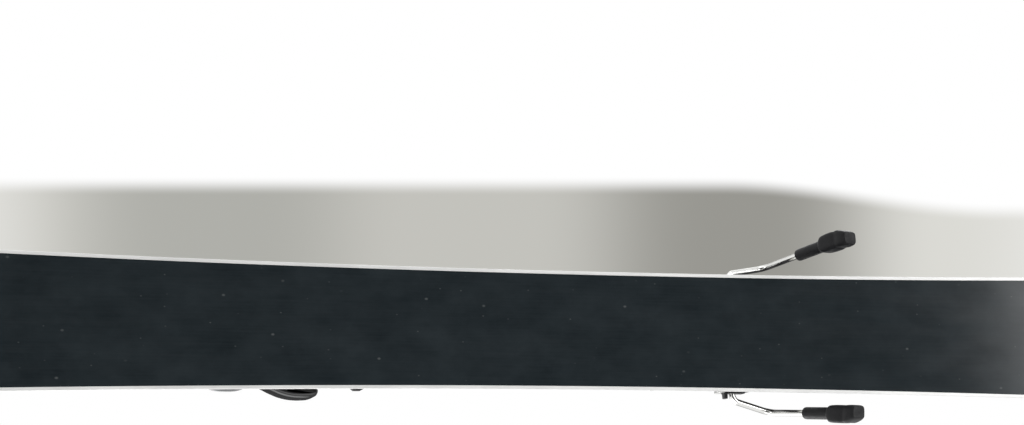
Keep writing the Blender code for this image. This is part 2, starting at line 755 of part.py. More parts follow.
def build_base_and_edges(outline):
    base = layer(outline, [(EDGE_SIZE + GAP, at(0)), (EDGE_SIZE + GAP, at(BASE_THICK))],
                 x_low=TAIL_PROTECTOR_X)
    add_piece("base_sheet", base, "running base")
    edge = [(0, at(0)), (0, at(EDGE_HEIGHT)), (EDGE_FLANGE_REACH, at(EDGE_HEIGHT)),
            (EDGE_FLANGE_REACH, at(EDGE_FLANGE_LOW)), (EDGE_SIZE, at(EDGE_FLANGE_LOW)), (EDGE_SIZE, at(0))]
    first = station(outline, TAIL_PROTECTOR_X)
    last = len(outline) - 1
    for name, side in SIDES.items():
        along = strip(outline, edge, side, first, last, close_at_tip=True)
        add_piece("edge_" + name, along, "edge steel")
    protector = layer(outline, [(0, at(0)), (0, at(EDGE_HEIGHT))],
                      x_high=TAIL_PROTECTOR_X - TAIL_PROTECTOR_GAP)
    add_piece("tail_protector", protector, "aluminium")


def build_inner_layers(outline):
    """Laminates, core and the spacers that take its place at the ends."""
    edge_top = EDGE_HEIGHT + GAP
    flange = EDGE_FLANGE_REACH + GAP
    lower = [(flange, at(BASE_THICK + GAP)), (flange, at(edge_top)), (LAMINATE_INSET, at(edge_top)),
             (LAMINATE_INSET, at(edge_top + LAMINATE_THICK))]
    add_piece("lower_laminate", layer(outline, lower, x_low=TAIL_PROTECTOR_X), "laminate")
    core_inset = SIDEWALL_INNER + GAP
    core_profile = [(core_inset, at(CORE_LOW)), (core_inset, below_top(CORE_COVER))]
    core = add_piece("core", layer(outline, core_profile, HEEL_CONTACT_X, SHOVEL_X), "core wood")
    cut(core, "core_holes", screw_holes())
    spacer = [(SIDEWALL_INSET_LOW, at(CORE_LOW)), (TOP_INSET / 2, below_top(CORE_COVER))]
    add_piece("tip_spacer", layer(outline, spacer, x_low=SHOVEL_X + SPACER_GAP), "white sidewall")
    add_piece("tail_spacer", layer(outline, spacer, x_high=HEEL_CONTACT_X - SPACER_GAP), "white sidewall")
    laminate_top = CORE_COVER - GAP
    laminate = [(TOP_INSET, below_top(laminate_top)), (TOP_INSET, below_top(laminate_top - LAMINATE_THICK))]
    upper = add_piece("upper_laminate", layer(outline, laminate), "laminate")
    cut(upper, "laminate_holes", screw_holes())


def build_sidewalls_and_top(outline):
    wall = [(SIDEWALL_INSET_LOW, at(CORE_LOW)), (TOP_INSET, below_top(CORE_COVER)),
            (SIDEWALL_INNER, below_top(CORE_COVER)), (SIDEWALL_INNER, at(CORE_LOW))]
    first = station(outline, HEEL_CONTACT_X)
    last = station(outline, SHOVEL_X)
    for name, side in SIDES.items():
        add_piece("sidewall_" + name, strip(outline, wall, side, first, last), "white sidewall")
    sheet = [(TOP_INSET, below_top(TOPSHEET_THICK)), (TOP_INSET, below_top(0))]
    top = add_piece("topsheet", layer(outline, sheet), "topsheet")
    cut(top, "topsheet_holes", screw_holes())


def mounting_screw(x, y, head_top):
    length = head_top - SCREW_TIP_Z
    return turned((x, y, head_top), (0, 0, -1),
                  [(0, SCREW_HEAD_RADIUS), (SCREW_HEAD_RIM, SCREW_HEAD_RADIUS),
                   (SCREW_HEAD_DEPTH, SCREW_SHANK_RADIUS), (length - SCREW_POINT_LENGTH, SCREW_SHANK_RADIUS),
                   (length, SCREW_POINT_RADIUS)], 12)


def mount_with_screws(plate, end, places, plate_top):
    """Four countersunk screws through a plate, each its own piece."""
    corners = {}
    for row, (x, y) in zip(("rear", "front"), places):
        for name, side in SIDES.items():
            corners[row + "_" + name] = (x, y * side)
    head_top = plate_top - GAP
    seats = [turned((x, y, head_top + PAST), (0, 0, -1), SCREW_SEAT, 12) for x, y in corners.values()]
    cut(plate, end + "_screw_seats", merge(*seats))
    for corner, (x, y) in corners.items():
        add_piece(end + "_screw_" + corner, mounting_screw(x, y, head_top), "plated steel")


# Toe piece

def build_toe_plate():
    low = SKI_TOP + GAP
    top = low + TOE_PLATE_THICK
    plate = add_piece("toe_base_plate", upright(full_outline(TOE_PLATE_OUTLINE), low, top),
                      "black plastic", round_over=0.6)
    mount_with_screws(plate, "toe", TOE_SCREWS, top)


def housing_section(height, width_share, length_share, count=24):
    """One level of the toe housing, a rounded oblong."""
    power = 2 / HOUSING_FULLNESS
    section = []
    for along, across in circle(1, count):
        x = HOUSING_HALF_LENGTH * length_share * math.copysign(abs(along) ** power, along)
        y = HOUSING_HALF_WIDTH * width_share * math.copysign(abs(across) ** power, across)
        section.append((HOUSING_X + x, y, height))
    return section


def build_toe_housing():
    low = SKI_TOP + GAP + TOE_PLATE_THICK + GAP
    rise = HOUSING_TOP - low
    levels = [housing_section(low + rise * share, wide, long) for share, wide, long in HOUSING_LEVELS]
    housing = add_piece("toe_housing", loft(levels), "grey plastic", smooth=True)
    lip_low = SOLE_HEIGHT + TOE_LUG + 1
    lip_z = (lip_low, lip_low + TOE_LIP_THICK)
    join(housing, "toe_lip", box(TOE_LIP_X, (-TOE_LIP_HALF, TOE_LIP_HALF), lip_z))
    pocket_z = (WING_LOW - GAP, WING_HIGH + GAP)
    cut(housing, "wing_pockets", box_each_side(WING_POCKET_X, WING_POCKET_Y, pocket_z))
    cut(housing, "crosshead_space", box(*CROSSHEAD_SPACE))
    start = WING_PIN[0]
    inner, outer = (x - start for x in TOE_BORE_X)
    head, mouth = (x - start for x in TOE_SCREW_HEAD_BORE)
    head_radius = TOE_SCREW_HEAD + 0.5
    bore = turned((start, 0, TOE_BORE_Z), (1, 0, 0),
                  [(0, PISTON_ROD_RADIUS + 0.5), (inner, PISTON_ROD_RADIUS + 0.5), (inner, TOE_BORE_RADIUS),
                   (outer, TOE_BORE_RADIUS), (outer, TOE_SCREW_HOLE_RADIUS), (head, TOE_SCREW_HOLE_RADIUS),
                   (head, head_radius), (mouth, head_radius)], 20)
    cut(housing, "toe_bore", bore)
    window_half = WINDOW_HALF + GAP
    cut(housing, "toe_window_slot", box((TOE_WINDOW_X[0] - GAP, TOE_WINDOW_X[1] + GAP),
                                        (-window_half, window_half),
                                        (TOE_BORE_Z + 7, HOUSING_TOP + 3 * PAST)))
    pin_x, pin_y = WING_PIN
    pins = [rod((pin_x, side * pin_y, low - PAST), (pin_x, side * pin_y, HOUSING_TOP),
                WING_PIN_RADIUS + GAP, 14) for side in (1, -1)]
    cut(housing, "wing_pin_holes", merge(*pins))


def build_toe_wings():
    def levels(outline, heights, side):
        return loft([[(x, y * side * share, z) for x, y in outline] for z, share in heights])

    pin_x, pin_y = WING_PIN
    plate_top = SKI_TOP + GAP + TOE_PLATE_THICK
    for name, side in SIDES.items():
        y = pin_y * side
        wing = add_piece("toe_wing_" + name, levels(WING_ARM, WING_ARM_LEVELS, side), "gloss black",
                         "toe_wing_" + name)
        hub = rod((pin_x, y, WING_LOW), (pin_x, y, WING_HIGH), WING_HUB_RADIUS, 18)
        join(wing, "wing_hub_" + name, hub)
        join(wing, "wing_lip_" + name, levels(WING_LIP, WING_LIP_LEVELS, side))
        finger = upright([(x, across * side) for x, across in WING_FINGER], *WING_FINGER_Z)
        join(wing, "wing_finger_" + name, finger)
        hole_ends = ((pin_x, y, WING_LOW - 2 * PAST), (pin_x, y, WING_HIGH + 2 * PAST))
        cut(wing, "wing_hole_" + name, rod(*hole_ends, WING_PIN_RADIUS + GAP, 14))
        pin = rod((pin_x, y, plate_top + 2 * GAP), (pin_x, y, WING_HIGH + 3), WING_PIN_RADIUS, 14)
        add_piece("toe_wing_pin_" + name, pin, "plated steel")


def build_toe_release():
    z = TOE_BORE_Z
    piston = add_piece("toe_piston", box(*CROSSHEAD), "plated steel", round_over=0.5)
    join(piston, "piston_rod", along_x(PISTON_ROD_X, z, PISTON_ROD_RADIUS))
    cut(piston, "piston_bore", along_x(PISTON_BORE_X, z, TOE_SCREW_RADIUS + GAP, 12))
    points = coil_points((TOE_SPRING_X[0], 0, z), (TOE_SPRING_X[1], 0, z), TOE_SPRING_RADIUS, 4)
    least_gap("toe_spring", points, 2 * TOE_SPRING_WIRE)
    add_wire("toe_spring", points, TOE_SPRING_WIRE, "spring steel", "ski", sides=1)
    nut = add_piece("toe_spring_nut", along_x(TOE_NUT_X, z, TOE_NUT_RADIUS), "orange marker", "toe_nut")
    cut(nut, "toe_nut_hole", along_x(beyond(TOE_NUT_X), z, TOE_SCREW_RADIUS + GAP, 12))
    inner, under, face = TOE_SCREW_X
    profile = [(0, TOE_SCREW_RADIUS), (under - inner, TOE_SCREW_RADIUS), (under - inner, TOE_SCREW_HEAD),
               (face - inner, TOE_SCREW_HEAD)]
    screw = add_piece("toe_release_screw", turned((inner, 0, z), (1, 0, 0), profile), "plated steel",
                      "toe_screw")
    cut(screw, "toe_screw_slot", cross_slot(face, z, 1))
    window = box(TOE_WINDOW_X, (-WINDOW_HALF, WINDOW_HALF), [HOUSING_TOP - d for d in TOE_WINDOW_DEPTH])
    add_piece("toe_scale_window", window, "clear window")


def cross_slot(face, z, outward):
    """Cutter for a cross recess in a screw's face; outward is the way the face looks along x."""
    reach = sorted((face - outward * CROSS_SLOT_DEPTH, face + outward * PAST))
    arm, half = CROSS_SLOT_REACH, CROSS_SLOT_HALF
    quarter = [(arm, half), (half, half), (half, arm)]
    shape = []
    for _ in range(4):
        shape += quarter
        quarter = [(-y, x) for x, y in quarter]
    return loft([[(x, y, z + w) for y, w in shape] for x in reach])


def build_gliding_plate():
    low = SKI_TOP + TOE_PLATE_THICK + 2 * GAP
    floor = low + AFD_FLOOR_THICK
    rear, front = AFD_FRAME_X
    wall = AFD_FRAME_WALL
    profile = [(rear, low), (front, low), (front, AFD_RAIL_TOP), (front - wall, AFD_RAIL_TOP),
               (front - wall, floor), (rear + wall, floor), (rear + wall, AFD_RAIL_TOP),
               (rear, AFD_RAIL_TOP)]
    frame = add_piece("afd_frame", sideways(profile, -AFD_FRAME_HALF, AFD_FRAME_HALF), "black plastic")
    channel_rear, channel_front = AFD_CHANNEL_X
    post_x = (channel_rear + AFD_POST_INSET, channel_front - AFD_POST_INSET)
    join(frame, "afd_posts", box_each_side(post_x, AFD_POST_Y, (floor - PAST, floor + AFD_POST_HEIGHT)))

    foot = (rear + AFD_FOOT_INSET, front - AFD_FOOT_INSET)
    foot_low = floor + GAP
    plate_low = AFD_RAIL_TOP + GAP
    plate_rear, plate_front = AFD_SLIDER_X
    along, down = AFD_EDGE_ROUND
    profile = [(foot[0], foot_low), (foot[1], foot_low), (foot[1], plate_low), (plate_front, plate_low),
               (plate_front, SOLE_HEIGHT - down), (plate_front - along, SOLE_HEIGHT),
               (plate_rear + along, SOLE_HEIGHT), (plate_rear, SOLE_HEIGHT - down),
               (plate_rear, plate_low), (foot[0], plate_low)]
    slider = add_piece("afd_slider", sideways(profile, -AFD_SLIDER_HALF, AFD_SLIDER_HALF), "glide plastic",
                       "afd_slider")
    channels = box_each_side(AFD_CHANNEL_X, AFD_CHANNEL_Y, (floor - PAST, floor + AFD_CHANNEL_DEPTH))
    cut(slider, "afd_channels", channels)
    cushion_x = (channel_rear + AFD_CUSHION_INSET, channel_front - AFD_CUSHION_INSET)
    cushion_y = (AFD_CHANNEL_Y[0] + GAP, AFD_POST_Y[0] - GAP)
    for name, side in SIDES.items():
        across = sorted(side * y for y in cushion_y)
        cushion = box(cushion_x, across, (floor + GAP, floor + AFD_POST_HEIGHT))
        add_piece("afd_cushion_" + name, cushion, "rubber")


# Heel piece

def build_heel_track():
    low = SKI_TOP + GAP
    top = low + TRACK_THICK
    track = add_piece("heel_track", upright(full_outline(TRACK_OUTLINE), low, top), "aluminium")
    mount_with_screws(track, "heel", HEEL_SCREWS, top)
    slots = []
    for i in range(TRACK_SLOTS):
        slot_x = [x + i * LENGTH_SCREW_PITCH for x in TRACK_SLOT_X]
        slots.append(box(slot_x, (-TRACK_SLOT_HALF, TRACK_SLOT_HALF), (low - PAST, top + PAST)))
    cut(track, "track_slots", merge(*slots))


def build_heel_base():
    low = SKI_TOP + GAP
    rear, front = HEEL_BASE_X
    outline = full_outline(HEEL_BASE_OUTLINE + ((front, HEEL_NOSE_HALF),))
    base = add_piece("heel_base", upright(outline, low, HEEL_BASE_TOP), "black plastic", "heel_base")
    channel_top = low + TRACK_THICK + GAP
    cut(base, "track_channel", box((rear - PAST, front + PAST), (-TRACK_HALF - GAP, TRACK_HALF + GAP),
                                   (low - PAST, channel_top)))
    nose = box(HEEL_NOSE_X, (-HEEL_NOSE_HALF, HEEL_NOSE_HALF), (channel_top, HEEL_BASE_TOP))
    join(base, "base_nose", nose)
    room = LENGTH_SCREW_RADIUS + LENGTH_SCREW_ROOM
    worm_x = (rear - PAST, LENGTH_SCREW_X[1] + PAST)
    cut(base, "worm_seat", along_x(worm_x, LENGTH_SCREW_Z, room, 14))
    cut(base, "worm_opening", box(worm_x, (-room, room), (LENGTH_SCREW_Z - 4, HEEL_BASE_TOP + PAST)))
    block_y = (-LENGTH_BLOCK_HALF, LENGTH_BLOCK_HALF)
    block_z = (HEEL_BASE_TOP + GAP, LENGTH_BLOCK_TOP)
    block = add_piece("length_block", box(LENGTH_BLOCK_X, block_y, block_z), "plated steel", "heel_base")
    cut(block, "block_arch", along_x(beyond(LENGTH_BLOCK_X), LENGTH_SCREW_Z, room, 14))


def build_length_screw():
    start, end = LENGTH_SCREW_X
    head, head_radius = LENGTH_SCREW_HEAD
    root = LENGTH_SCREW_RADIUS - LENGTH_SCREW_DEPTH
    profile = [(0, head_radius), (head, head_radius)]
    for i in range(LENGTH_SCREW_THREADS):
        foot = head + 2 + i * LENGTH_SCREW_PITCH
        radii = (root, LENGTH_SCREW_RADIUS, LENGTH_SCREW_RADIUS, root)
        profile += [(foot + along, radius) for along, radius in zip(LENGTH_SCREW_FLANKS, radii)]
    profile.append((end - start, root))
    screw = add_piece("length_screw", turned((start, 0, LENGTH_SCREW_Z), (1, 0, 0), profile, 12),
                      "plated steel", "length_screw")
    depth, half = LENGTH_SCREW_SLOT
    reach = head_radius + GAP
    cut(screw, "length_screw_slot", box((start - PAST, start + depth), (-reach, reach),
                                        (LENGTH_SCREW_Z - half, LENGTH_SCREW_Z + half)))


def build_heel_carriage():
    low = HEEL_BASE_TOP + GAP
    top = low + CARRIAGE_THICK
    carriage = add_piece("heel_carriage", box(CARRIAGE_X, (-CARRIAGE_HALF, CARRIAGE_HALF), (low, top)),
                         "black plastic", "heel_carriage")
    inner, outer = CARRIAGE_CHEEK_Y
    cheeks = merge(sideways(CARRIAGE_CHEEK, inner, outer), sideways(CARRIAGE_CHEEK, -outer, -inner))
    join(carriage, "cheeks", cheeks)
    join(carriage, "pressure_wall", box(CARRIAGE_WALL_X, (-LENGTH_BLOCK_HALF, LENGTH_BLOCK_HALF),
                                        (low + 1, CARRIAGE_WALL_TOP)))
    slot_half = LENGTH_BLOCK_HALF + 2 * GAP
    cut(carriage, "block_slot", box((LENGTH_BLOCK_X[0] - GAP, CARRIAGE_WALL_X[0]), (-slot_half, slot_half),
                                    (low - PAST, top + PAST)))
    relief_x = (CARRIAGE_X[0] - PAST, LENGTH_SCREW_X[1] + CARRIAGE_TRAVEL + 2)
    relief_radius = LENGTH_SCREW_RADIUS + LENGTH_SCREW_ROOM
    cut(carriage, "worm_relief", along_x(relief_x, LENGTH_SCREW_Z, relief_radius, 14))
    cut(carriage, "axle_holes", across(AXLE_X, AXLE_Z, outer + 2 * PAST, AXLE_RADIUS + GAP, 20))
    add_piece("heel_axle", across(AXLE_X, AXLE_Z, outer - 0.5, AXLE_RADIUS, 20), "plated steel",
              "heel_carriage")


def build_pressure_spring():
    space = PRESSURE_SPRING_WIRE + GAP
    start = (LENGTH_BLOCK_X[1] + space, 0, PRESSURE_SPRING_Z)
    end = (CARRIAGE_WALL_X[0] - space, 0, PRESSURE_SPRING_Z)
    points = coil_points(start, end, PRESSURE_SPRING_RADIUS, 5)
    least_gap("forward_pressure_spring", points, 2 * PRESSURE_SPRING_WIRE)
    add_wire("forward_pressure_spring", points, PRESSURE_SPRING_WIRE, "spring steel", "heel_base", sides=1)


def build_heel_jaw():
    jaw = add_piece("heel_jaw", sideways(JAW_BODY, -JAW_HALF, JAW_HALF), "gloss black", "heel_jaw",
                    round_over=1.6)
    join(jaw, "cup", sideways(JAW_CUP, -CUP_HALF, CUP_HALF))
    boot = circle(CUP_RADIUS, 48, (BOOT_HEEL_X - 0.5 + CUP_RADIUS, 0))
    cut(jaw, "boot_heel_space", upright(boot, CUP_FLOOR, CUP_TOP))
    z = HEEL_BORE_Z
    start, under = HEEL_SCREW_HEAD_BORE
    rear, front = HEEL_BORE_X
    head_radius = HEEL_SCREW_HEAD + 0.5
    shank_radius = HEEL_SCREW_RADIUS + 0.5
    bore = turned((start, 0, z), (1, 0, 0),
                  [(0, head_radius), (under - start, head_radius), (under - start, shank_radius),
                   (rear - start, shank_radius), (rear - start, HEEL_BORE_RADIUS),
                   (front - start, HEEL_BORE_RADIUS)], 20)
    cut(jaw, "heel_bore", bore)
    cut(jaw, "axle_bore", across(AXLE_X, AXLE_Z, JAW_HALF + 2 * PAST, AXLE_RADIUS + GAP, 20))
    cut(jaw, "cam_space", box(*JAW_CAM_SPACE))
    window_half = WINDOW_HALF + GAP
    cut(jaw, "heel_window_slot", box((HEEL_WINDOW_X[0] - GAP, HEEL_WINDOW_X[1] + GAP),
                                     (-window_half, window_half), (z + 5, JAW_TOP + 3 * PAST)))
    pin_x, pin_z = LEVER_PIN
    hub_half = LEVER_HUB_HALF + GAP
    cut(jaw, "lever_space", box(LEVER_SPACE_X, (-hub_half, hub_half),
                                (pin_z - LEVER_HUB_RADIUS - GAP, JAW_TOP + 6 * PAST)))
    cut(jaw, "lever_pin_bore", across(pin_x, pin_z, JAW_HALF + 2 * PAST, LEVER_PIN_RADIUS + GAP, 12))
    add_piece("heel_lever_pin", across(pin_x, pin_z, JAW_HALF - 1, LEVER_PIN_RADIUS, 12), "plated steel",
              "heel_jaw")
    window = box(HEEL_WINDOW_X, (-WINDOW_HALF, WINDOW_HALF), [JAW_TOP - d for d in HEEL_WINDOW_DEPTH])
    add_piece("heel_scale_window", window, "clear window", "heel_jaw")


def build_heel_release():
    z = HEEL_BORE_Z
    rear, front = HEEL_PISTON_X
    radius = HEEL_BORE_RADIUS - 2 * GAP
    nose, narrowing = HEEL_PISTON_NOSE
    profile = [(0, radius), (front - rear - nose, radius), (front - rear, HEEL_BORE_RADIUS - narrowing)]
    add_piece("heel_cam_piston", turned((rear, 0, z), (1, 0, 0), profile, 20), "plated steel", "heel_jaw")
    points = coil_points((HEEL_SPRING_X[0], 0, z), (HEEL_SPRING_X[1], 0, z), HEEL_SPRING_RADIUS, 5)
    least_gap("heel_spring", points, 2 * HEEL_SPRING_WIRE)
    add_wire("heel_spring", points, HEEL_SPRING_WIRE, "spring steel", "heel_jaw", sides=1)
    nut = add_piece("heel_spring_nut", along_x(HEEL_NUT_X, z, radius, 20), "orange marker", "heel_nut")
    cut(nut, "heel_nut_hole", along_x(beyond(HEEL_NUT_X), z, HEEL_SCREW_RADIUS + GAP, 12))
    face, under, inner = HEEL_SCREW_X
    profile = [(0, HEEL_SCREW_HEAD), (under - face, HEEL_SCREW_HEAD), (under - face, HEEL_SCREW_RADIUS),
               (inner - face, HEEL_SCREW_RADIUS)]
    screw = add_piece("heel_release_screw", turned((face, 0, z), (1, 0, 0), profile), "plated steel",
                      "heel_screw")
    cut(screw, "heel_screw_slot", cross_slot(face, z, -1))


def build_heel_lever():
    pin_x, pin_z = LEVER_PIN
    lever = add_piece("heel_lever", sideways(LEVER_BLADE, -LEVER_HALF, LEVER_HALF), "black plastic",
                      "heel_lever", round_over=1.2)
    join(lever, "lever_neck", sideways(LEVER_NECK, -LEVER_HUB_HALF, LEVER_HUB_HALF))
    hub = circle(LEVER_HUB_RADIUS, 16, LEVER_PIN)
    join(lever, "lever_hub", sideways(hub, -LEVER_HUB_HALF, LEVER_HUB_HALF))
    cut(lever, "lever_bore", across(pin_x, pin_z, LEVER_HALF, LEVER_PIN_RADIUS + GAP, 12))
    cut(lever, "pole_dish", sideways(LEVER_DISH, -LEVER_DISH_HALF, LEVER_DISH_HALF))


# Ski brake

def brake_axis_at(y):
    """The point of the left arm's pivot axis this far from the ski's middle."""
    pivot = Vector(BRAKE_PIVOT)
    axis = Vector(BRAKE_AXIS)
    return pivot + axis * ((y - pivot.y) / axis.y)


def arm_corners():
    """Corner points of the left arm's wire, from its inner crank to inside its foot."""
    inner = brake_axis_at(CRANK_Y)
    angle = math.radians(CRANK_ANGLE)
    crank = inner + Vector((math.cos(angle), 0, math.sin(angle))) * CRANK_RADIUS
    crank_end = crank + brake_axis_at(CRANK_INNER_Y) - inner
    elbow = Vector(ARM_ELBOW)
    down = (Vector(FOOT_END) - elbow).normalized()
    wire_end = Vector(FOOT_END) - down * (FOOT_LENGTH - WIRE_IN_FOOT)
    return [crank_end, crank, inner, brake_axis_at(ARM_CORNER_Y), elbow, wire_end]


def foot_section(distance, inboard, outboard, front, back, fullness, side):
    """One section of the brake foot, square to the arm; outboard is away from the ski."""
    along = (Vector(FOOT_END) - Vector(ARM_ELBOW)).normalized()
    rearward, lateral = frame_along(along, (0, 1, 0))
    lateral *= math.copysign(1, lateral.y)
    rearward *= -math.copysign(1, rearward.x)
    centre = Vector(FOOT_END) + along * (distance - FOOT_LENGTH)
    power = 2 / fullness
    section = []
    for u, v in circle(1, 16):
        u = math.copysign(abs(u) ** power, u) * (outboard if u > 0 else inboard)
        v = math.copysign(abs(v) ** power, v) * (back if v > 0 else front)
        point = centre + lateral * u + rearward * v
        section.append((point.x, point.y * side, point.z))
    return section


def build_brake_feet():
    elbow, wire_end = arm_corners()[-2:]
    down = (wire_end - elbow).normalized()
    bore = (Vector(FOOT_END) - down * (FOOT_LENGTH + 2 * PAST), wire_end + down * GAP)
    for name, side in SIDES.items():
        shape = loft([foot_section(*level, side) for level in FOOT_LEVELS])
        foot = add_piece("brake_foot_" + name, shape, "black plastic", "brake_arm_" + name, smooth=True)
        cut(foot, "foot_bore_" + name, rod(*mirrored(bore, side), WIRE_RADIUS + GAP, 12))


def build_brake_arms():
    path = rounded_path(arm_corners(), ARM_BEND_RADIUS, 5)
    for name, side in SIDES.items():
        body = "brake_arm_" + name
        add_wire("brake_arm_" + name, mirrored(path, side), WIRE_RADIUS, "chrome wire", body, sides=3)


def build_brake_bracket():
    low = SKI_TOP + GAP
    top = low + BRACKET_THICK
    bracket = add_piece("brake_bracket", box(BRACKET_X, (-BRACKET_HALF, BRACKET_HALF), (low, top)),
                        "plated steel", "heel_base")
    window = box(BRACKET_WINDOW_X, (-BRACKET_WINDOW_HALF, BRACKET_WINDOW_HALF), (low - PAST, top + PAST))
    cut(bracket, "bracket_window", window)
    inner, outer = PEDAL_EAR_Y
    ears = merge(box_each_side(BRACKET_EAR_X, BRACKET_EAR_Y, (low, BRACKET_EAR_TOP)),
                 sideways(PEDAL_EAR, inner, outer), sideways(PEDAL_EAR, -outer, -inner))
    join(bracket, "bracket_ears", ears)
    cut(bracket, "pedal_pin_holes", across(*PEDAL_PIN, BRACKET_HALF + 2 * PAST, PEDAL_PIN_RADIUS + GAP, 12))
    add_piece("brake_pedal_pin", across(*PEDAL_PIN, PEDAL_PIN_HALF, PEDAL_PIN_RADIUS, 12), "plated steel",
              "heel_base")


def build_brake_blocks():
    low = SKI_TOP + 2 * GAP + BRACKET_THICK
    pivot = Vector(BRAKE_PIVOT)
    axis = Vector(BRAKE_AXIS)
    inward, outward = BLOCK_BORE_REACH
    bore = (pivot - axis * inward, pivot + axis * outward)
    for name, side in SIDES.items():
        block_y = sorted((side * BLOCK_INNER_Y, side * BLOCK_OUTER_Y))
        wall_y = sorted(side * y for y in BLOCK_WALL_Y)
        block = add_piece("brake_block_" + name, box(BLOCK_X, block_y, (low, BLOCK_TOP)), "black plastic",
                          "heel_base")
        join(block, "block_wall_" + name, box((BLOCK_WALL_X, BLOCK_X[1]), wall_y, (low, BLOCK_WALL_TOP)))
        cut(block, "block_bore_" + name, rod(*mirrored(bore, side), WIRE_RADIUS + GAP, 16))


def tipped(profile):
    """A profile drawn with the pedal flat, turned to its raised rest place."""
    pin_x, pin_z = PEDAL_PIN
    tilt = math.radians(PEDAL_TILT)
    placed = []
    for behind, above in profile:
        x = pin_x - behind * math.cos(tilt) - above * math.sin(tilt)
        z = pin_z + behind * math.sin(tilt) + above * math.cos(tilt)
        placed.append((x, z))
    return placed


def build_brake_pedal():
    pedal = add_piece("brake_pedal", sideways(tipped(PEDAL_PLATE), -PEDAL_HALF, PEDAL_HALF), "black plastic",
                      "brake_pedal")
    knuckle = tipped(circle(PEDAL_KNUCKLE_RADIUS, 16))
    inner, outer = PEDAL_KNUCKLE_Y
    join(pedal, "pedal_knuckles", merge(sideways(knuckle, inner, outer), sideways(knuckle, -outer, -inner)))
    cut(pedal, "pedal_spring_room", sideways(tipped(PEDAL_SPRING_ROOM), -PEDAL_SPRING_ROOM_HALF,
                                             PEDAL_SPRING_ROOM_HALF))
    cut(pedal, "pedal_pin_bore", across(*PEDAL_PIN, PEDAL_HALF + 2 * PAST, PEDAL_PIN_RADIUS + GAP, 12))


def build_brake_spring():
    pin_x, pin_z = PEDAL_PIN
    points = coil_points((pin_x, -BRAKE_SPRING_HALF, pin_z), (pin_x, BRAKE_SPRING_HALF, pin_z),
                         BRAKE_SPRING_RADIUS, 5, phase=-math.pi / 2)
    least_gap("brake_spring", points, 2 * BRAKE_SPRING_WIRE)
    add_wire("brake_spring", points, BRAKE_SPRING_WIRE, "spring steel", "heel_base", sides=1)


def build():
    clear_scene()
    make_bodies()
    outline = ski_outline()
    build_base_and_edges(outline)
    build_inner_layers(outline)
    build_sidewalls_and_top(outline)
    for step in (build_toe_plate, build_toe_housing, build_toe_wings, build_toe_release, build_gliding_plate,
                 build_heel_track, build_heel_base, build_length_screw, build_heel_carriage,
                 build_pressure_spring, build_heel_jaw, build_heel_release, build_heel_lever,
                 build_brake_bracket, build_brake_blocks, build_brake_arms, build_brake_feet,
                 build_brake_pedal, build_brake_spring):
        step()


build()
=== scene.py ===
"""Looks of an alpine ski with its step-in binding and brake: fine surfaces, finishes, studio and camera.

Lengths are in millimetres until solid() turns them into metres. +X points to the ski's tip, +Y to its left
side, and the running surface lies at z = 0 under the boot.
"""
import json
import math

import bmesh
import bpy
from mathutils import Matrix, Vector


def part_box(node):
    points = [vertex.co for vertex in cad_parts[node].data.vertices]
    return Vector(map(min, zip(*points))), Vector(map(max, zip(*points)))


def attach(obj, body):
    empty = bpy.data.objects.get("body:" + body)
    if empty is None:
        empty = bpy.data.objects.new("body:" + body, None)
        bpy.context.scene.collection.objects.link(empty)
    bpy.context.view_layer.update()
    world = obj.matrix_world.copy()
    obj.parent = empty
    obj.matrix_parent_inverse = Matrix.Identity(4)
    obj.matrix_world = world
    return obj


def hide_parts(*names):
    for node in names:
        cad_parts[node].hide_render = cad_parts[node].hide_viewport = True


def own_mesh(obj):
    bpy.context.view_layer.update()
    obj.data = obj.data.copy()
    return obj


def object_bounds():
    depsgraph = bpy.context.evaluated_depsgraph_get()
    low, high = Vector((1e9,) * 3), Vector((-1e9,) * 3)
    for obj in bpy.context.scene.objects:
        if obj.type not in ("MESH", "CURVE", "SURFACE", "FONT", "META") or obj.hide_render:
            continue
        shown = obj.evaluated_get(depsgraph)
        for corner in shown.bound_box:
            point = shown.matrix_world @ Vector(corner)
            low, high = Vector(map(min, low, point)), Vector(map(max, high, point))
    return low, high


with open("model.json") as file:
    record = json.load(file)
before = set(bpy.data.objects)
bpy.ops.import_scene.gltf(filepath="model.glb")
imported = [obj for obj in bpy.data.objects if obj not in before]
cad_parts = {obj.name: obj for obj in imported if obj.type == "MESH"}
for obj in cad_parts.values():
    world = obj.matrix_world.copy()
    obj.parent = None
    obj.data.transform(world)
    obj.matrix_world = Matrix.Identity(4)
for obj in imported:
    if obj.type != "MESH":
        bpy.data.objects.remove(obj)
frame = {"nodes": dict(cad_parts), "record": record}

MM = 0.001
PAST = 1  # how far a cutter reaches past the faces it opens
PLAY = 0.3  # between a hole or slot and what moves in it
TOUCH = 0.02  # between fine layers that lie on each other
NOTHING = 1e-6
SIDES = {"left": 1, "right": -1}
BODY_OF = {node: body for body, nodes in frame["record"]["behaviour"]["bodies"].items() for node in nodes}
SLOT_OF = {row["node"]: row["material_slot"] for row in frame["record"]["subparts"]}
cad_low, cad_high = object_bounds()

# Roundness: points, steps and corners
ROUND = 40
FILLET_STEPS = 4
BEND_STEPS = 14
COIL_STEPS = 28
THREAD_POINTS = 32
BEVEL_STEPS = 3
LEAST_CORNER = 2.5  # shorter corners of a CAD solid stay sharp
LEAST_ANGLE = 50
PIN_CHAMFER = 0.4

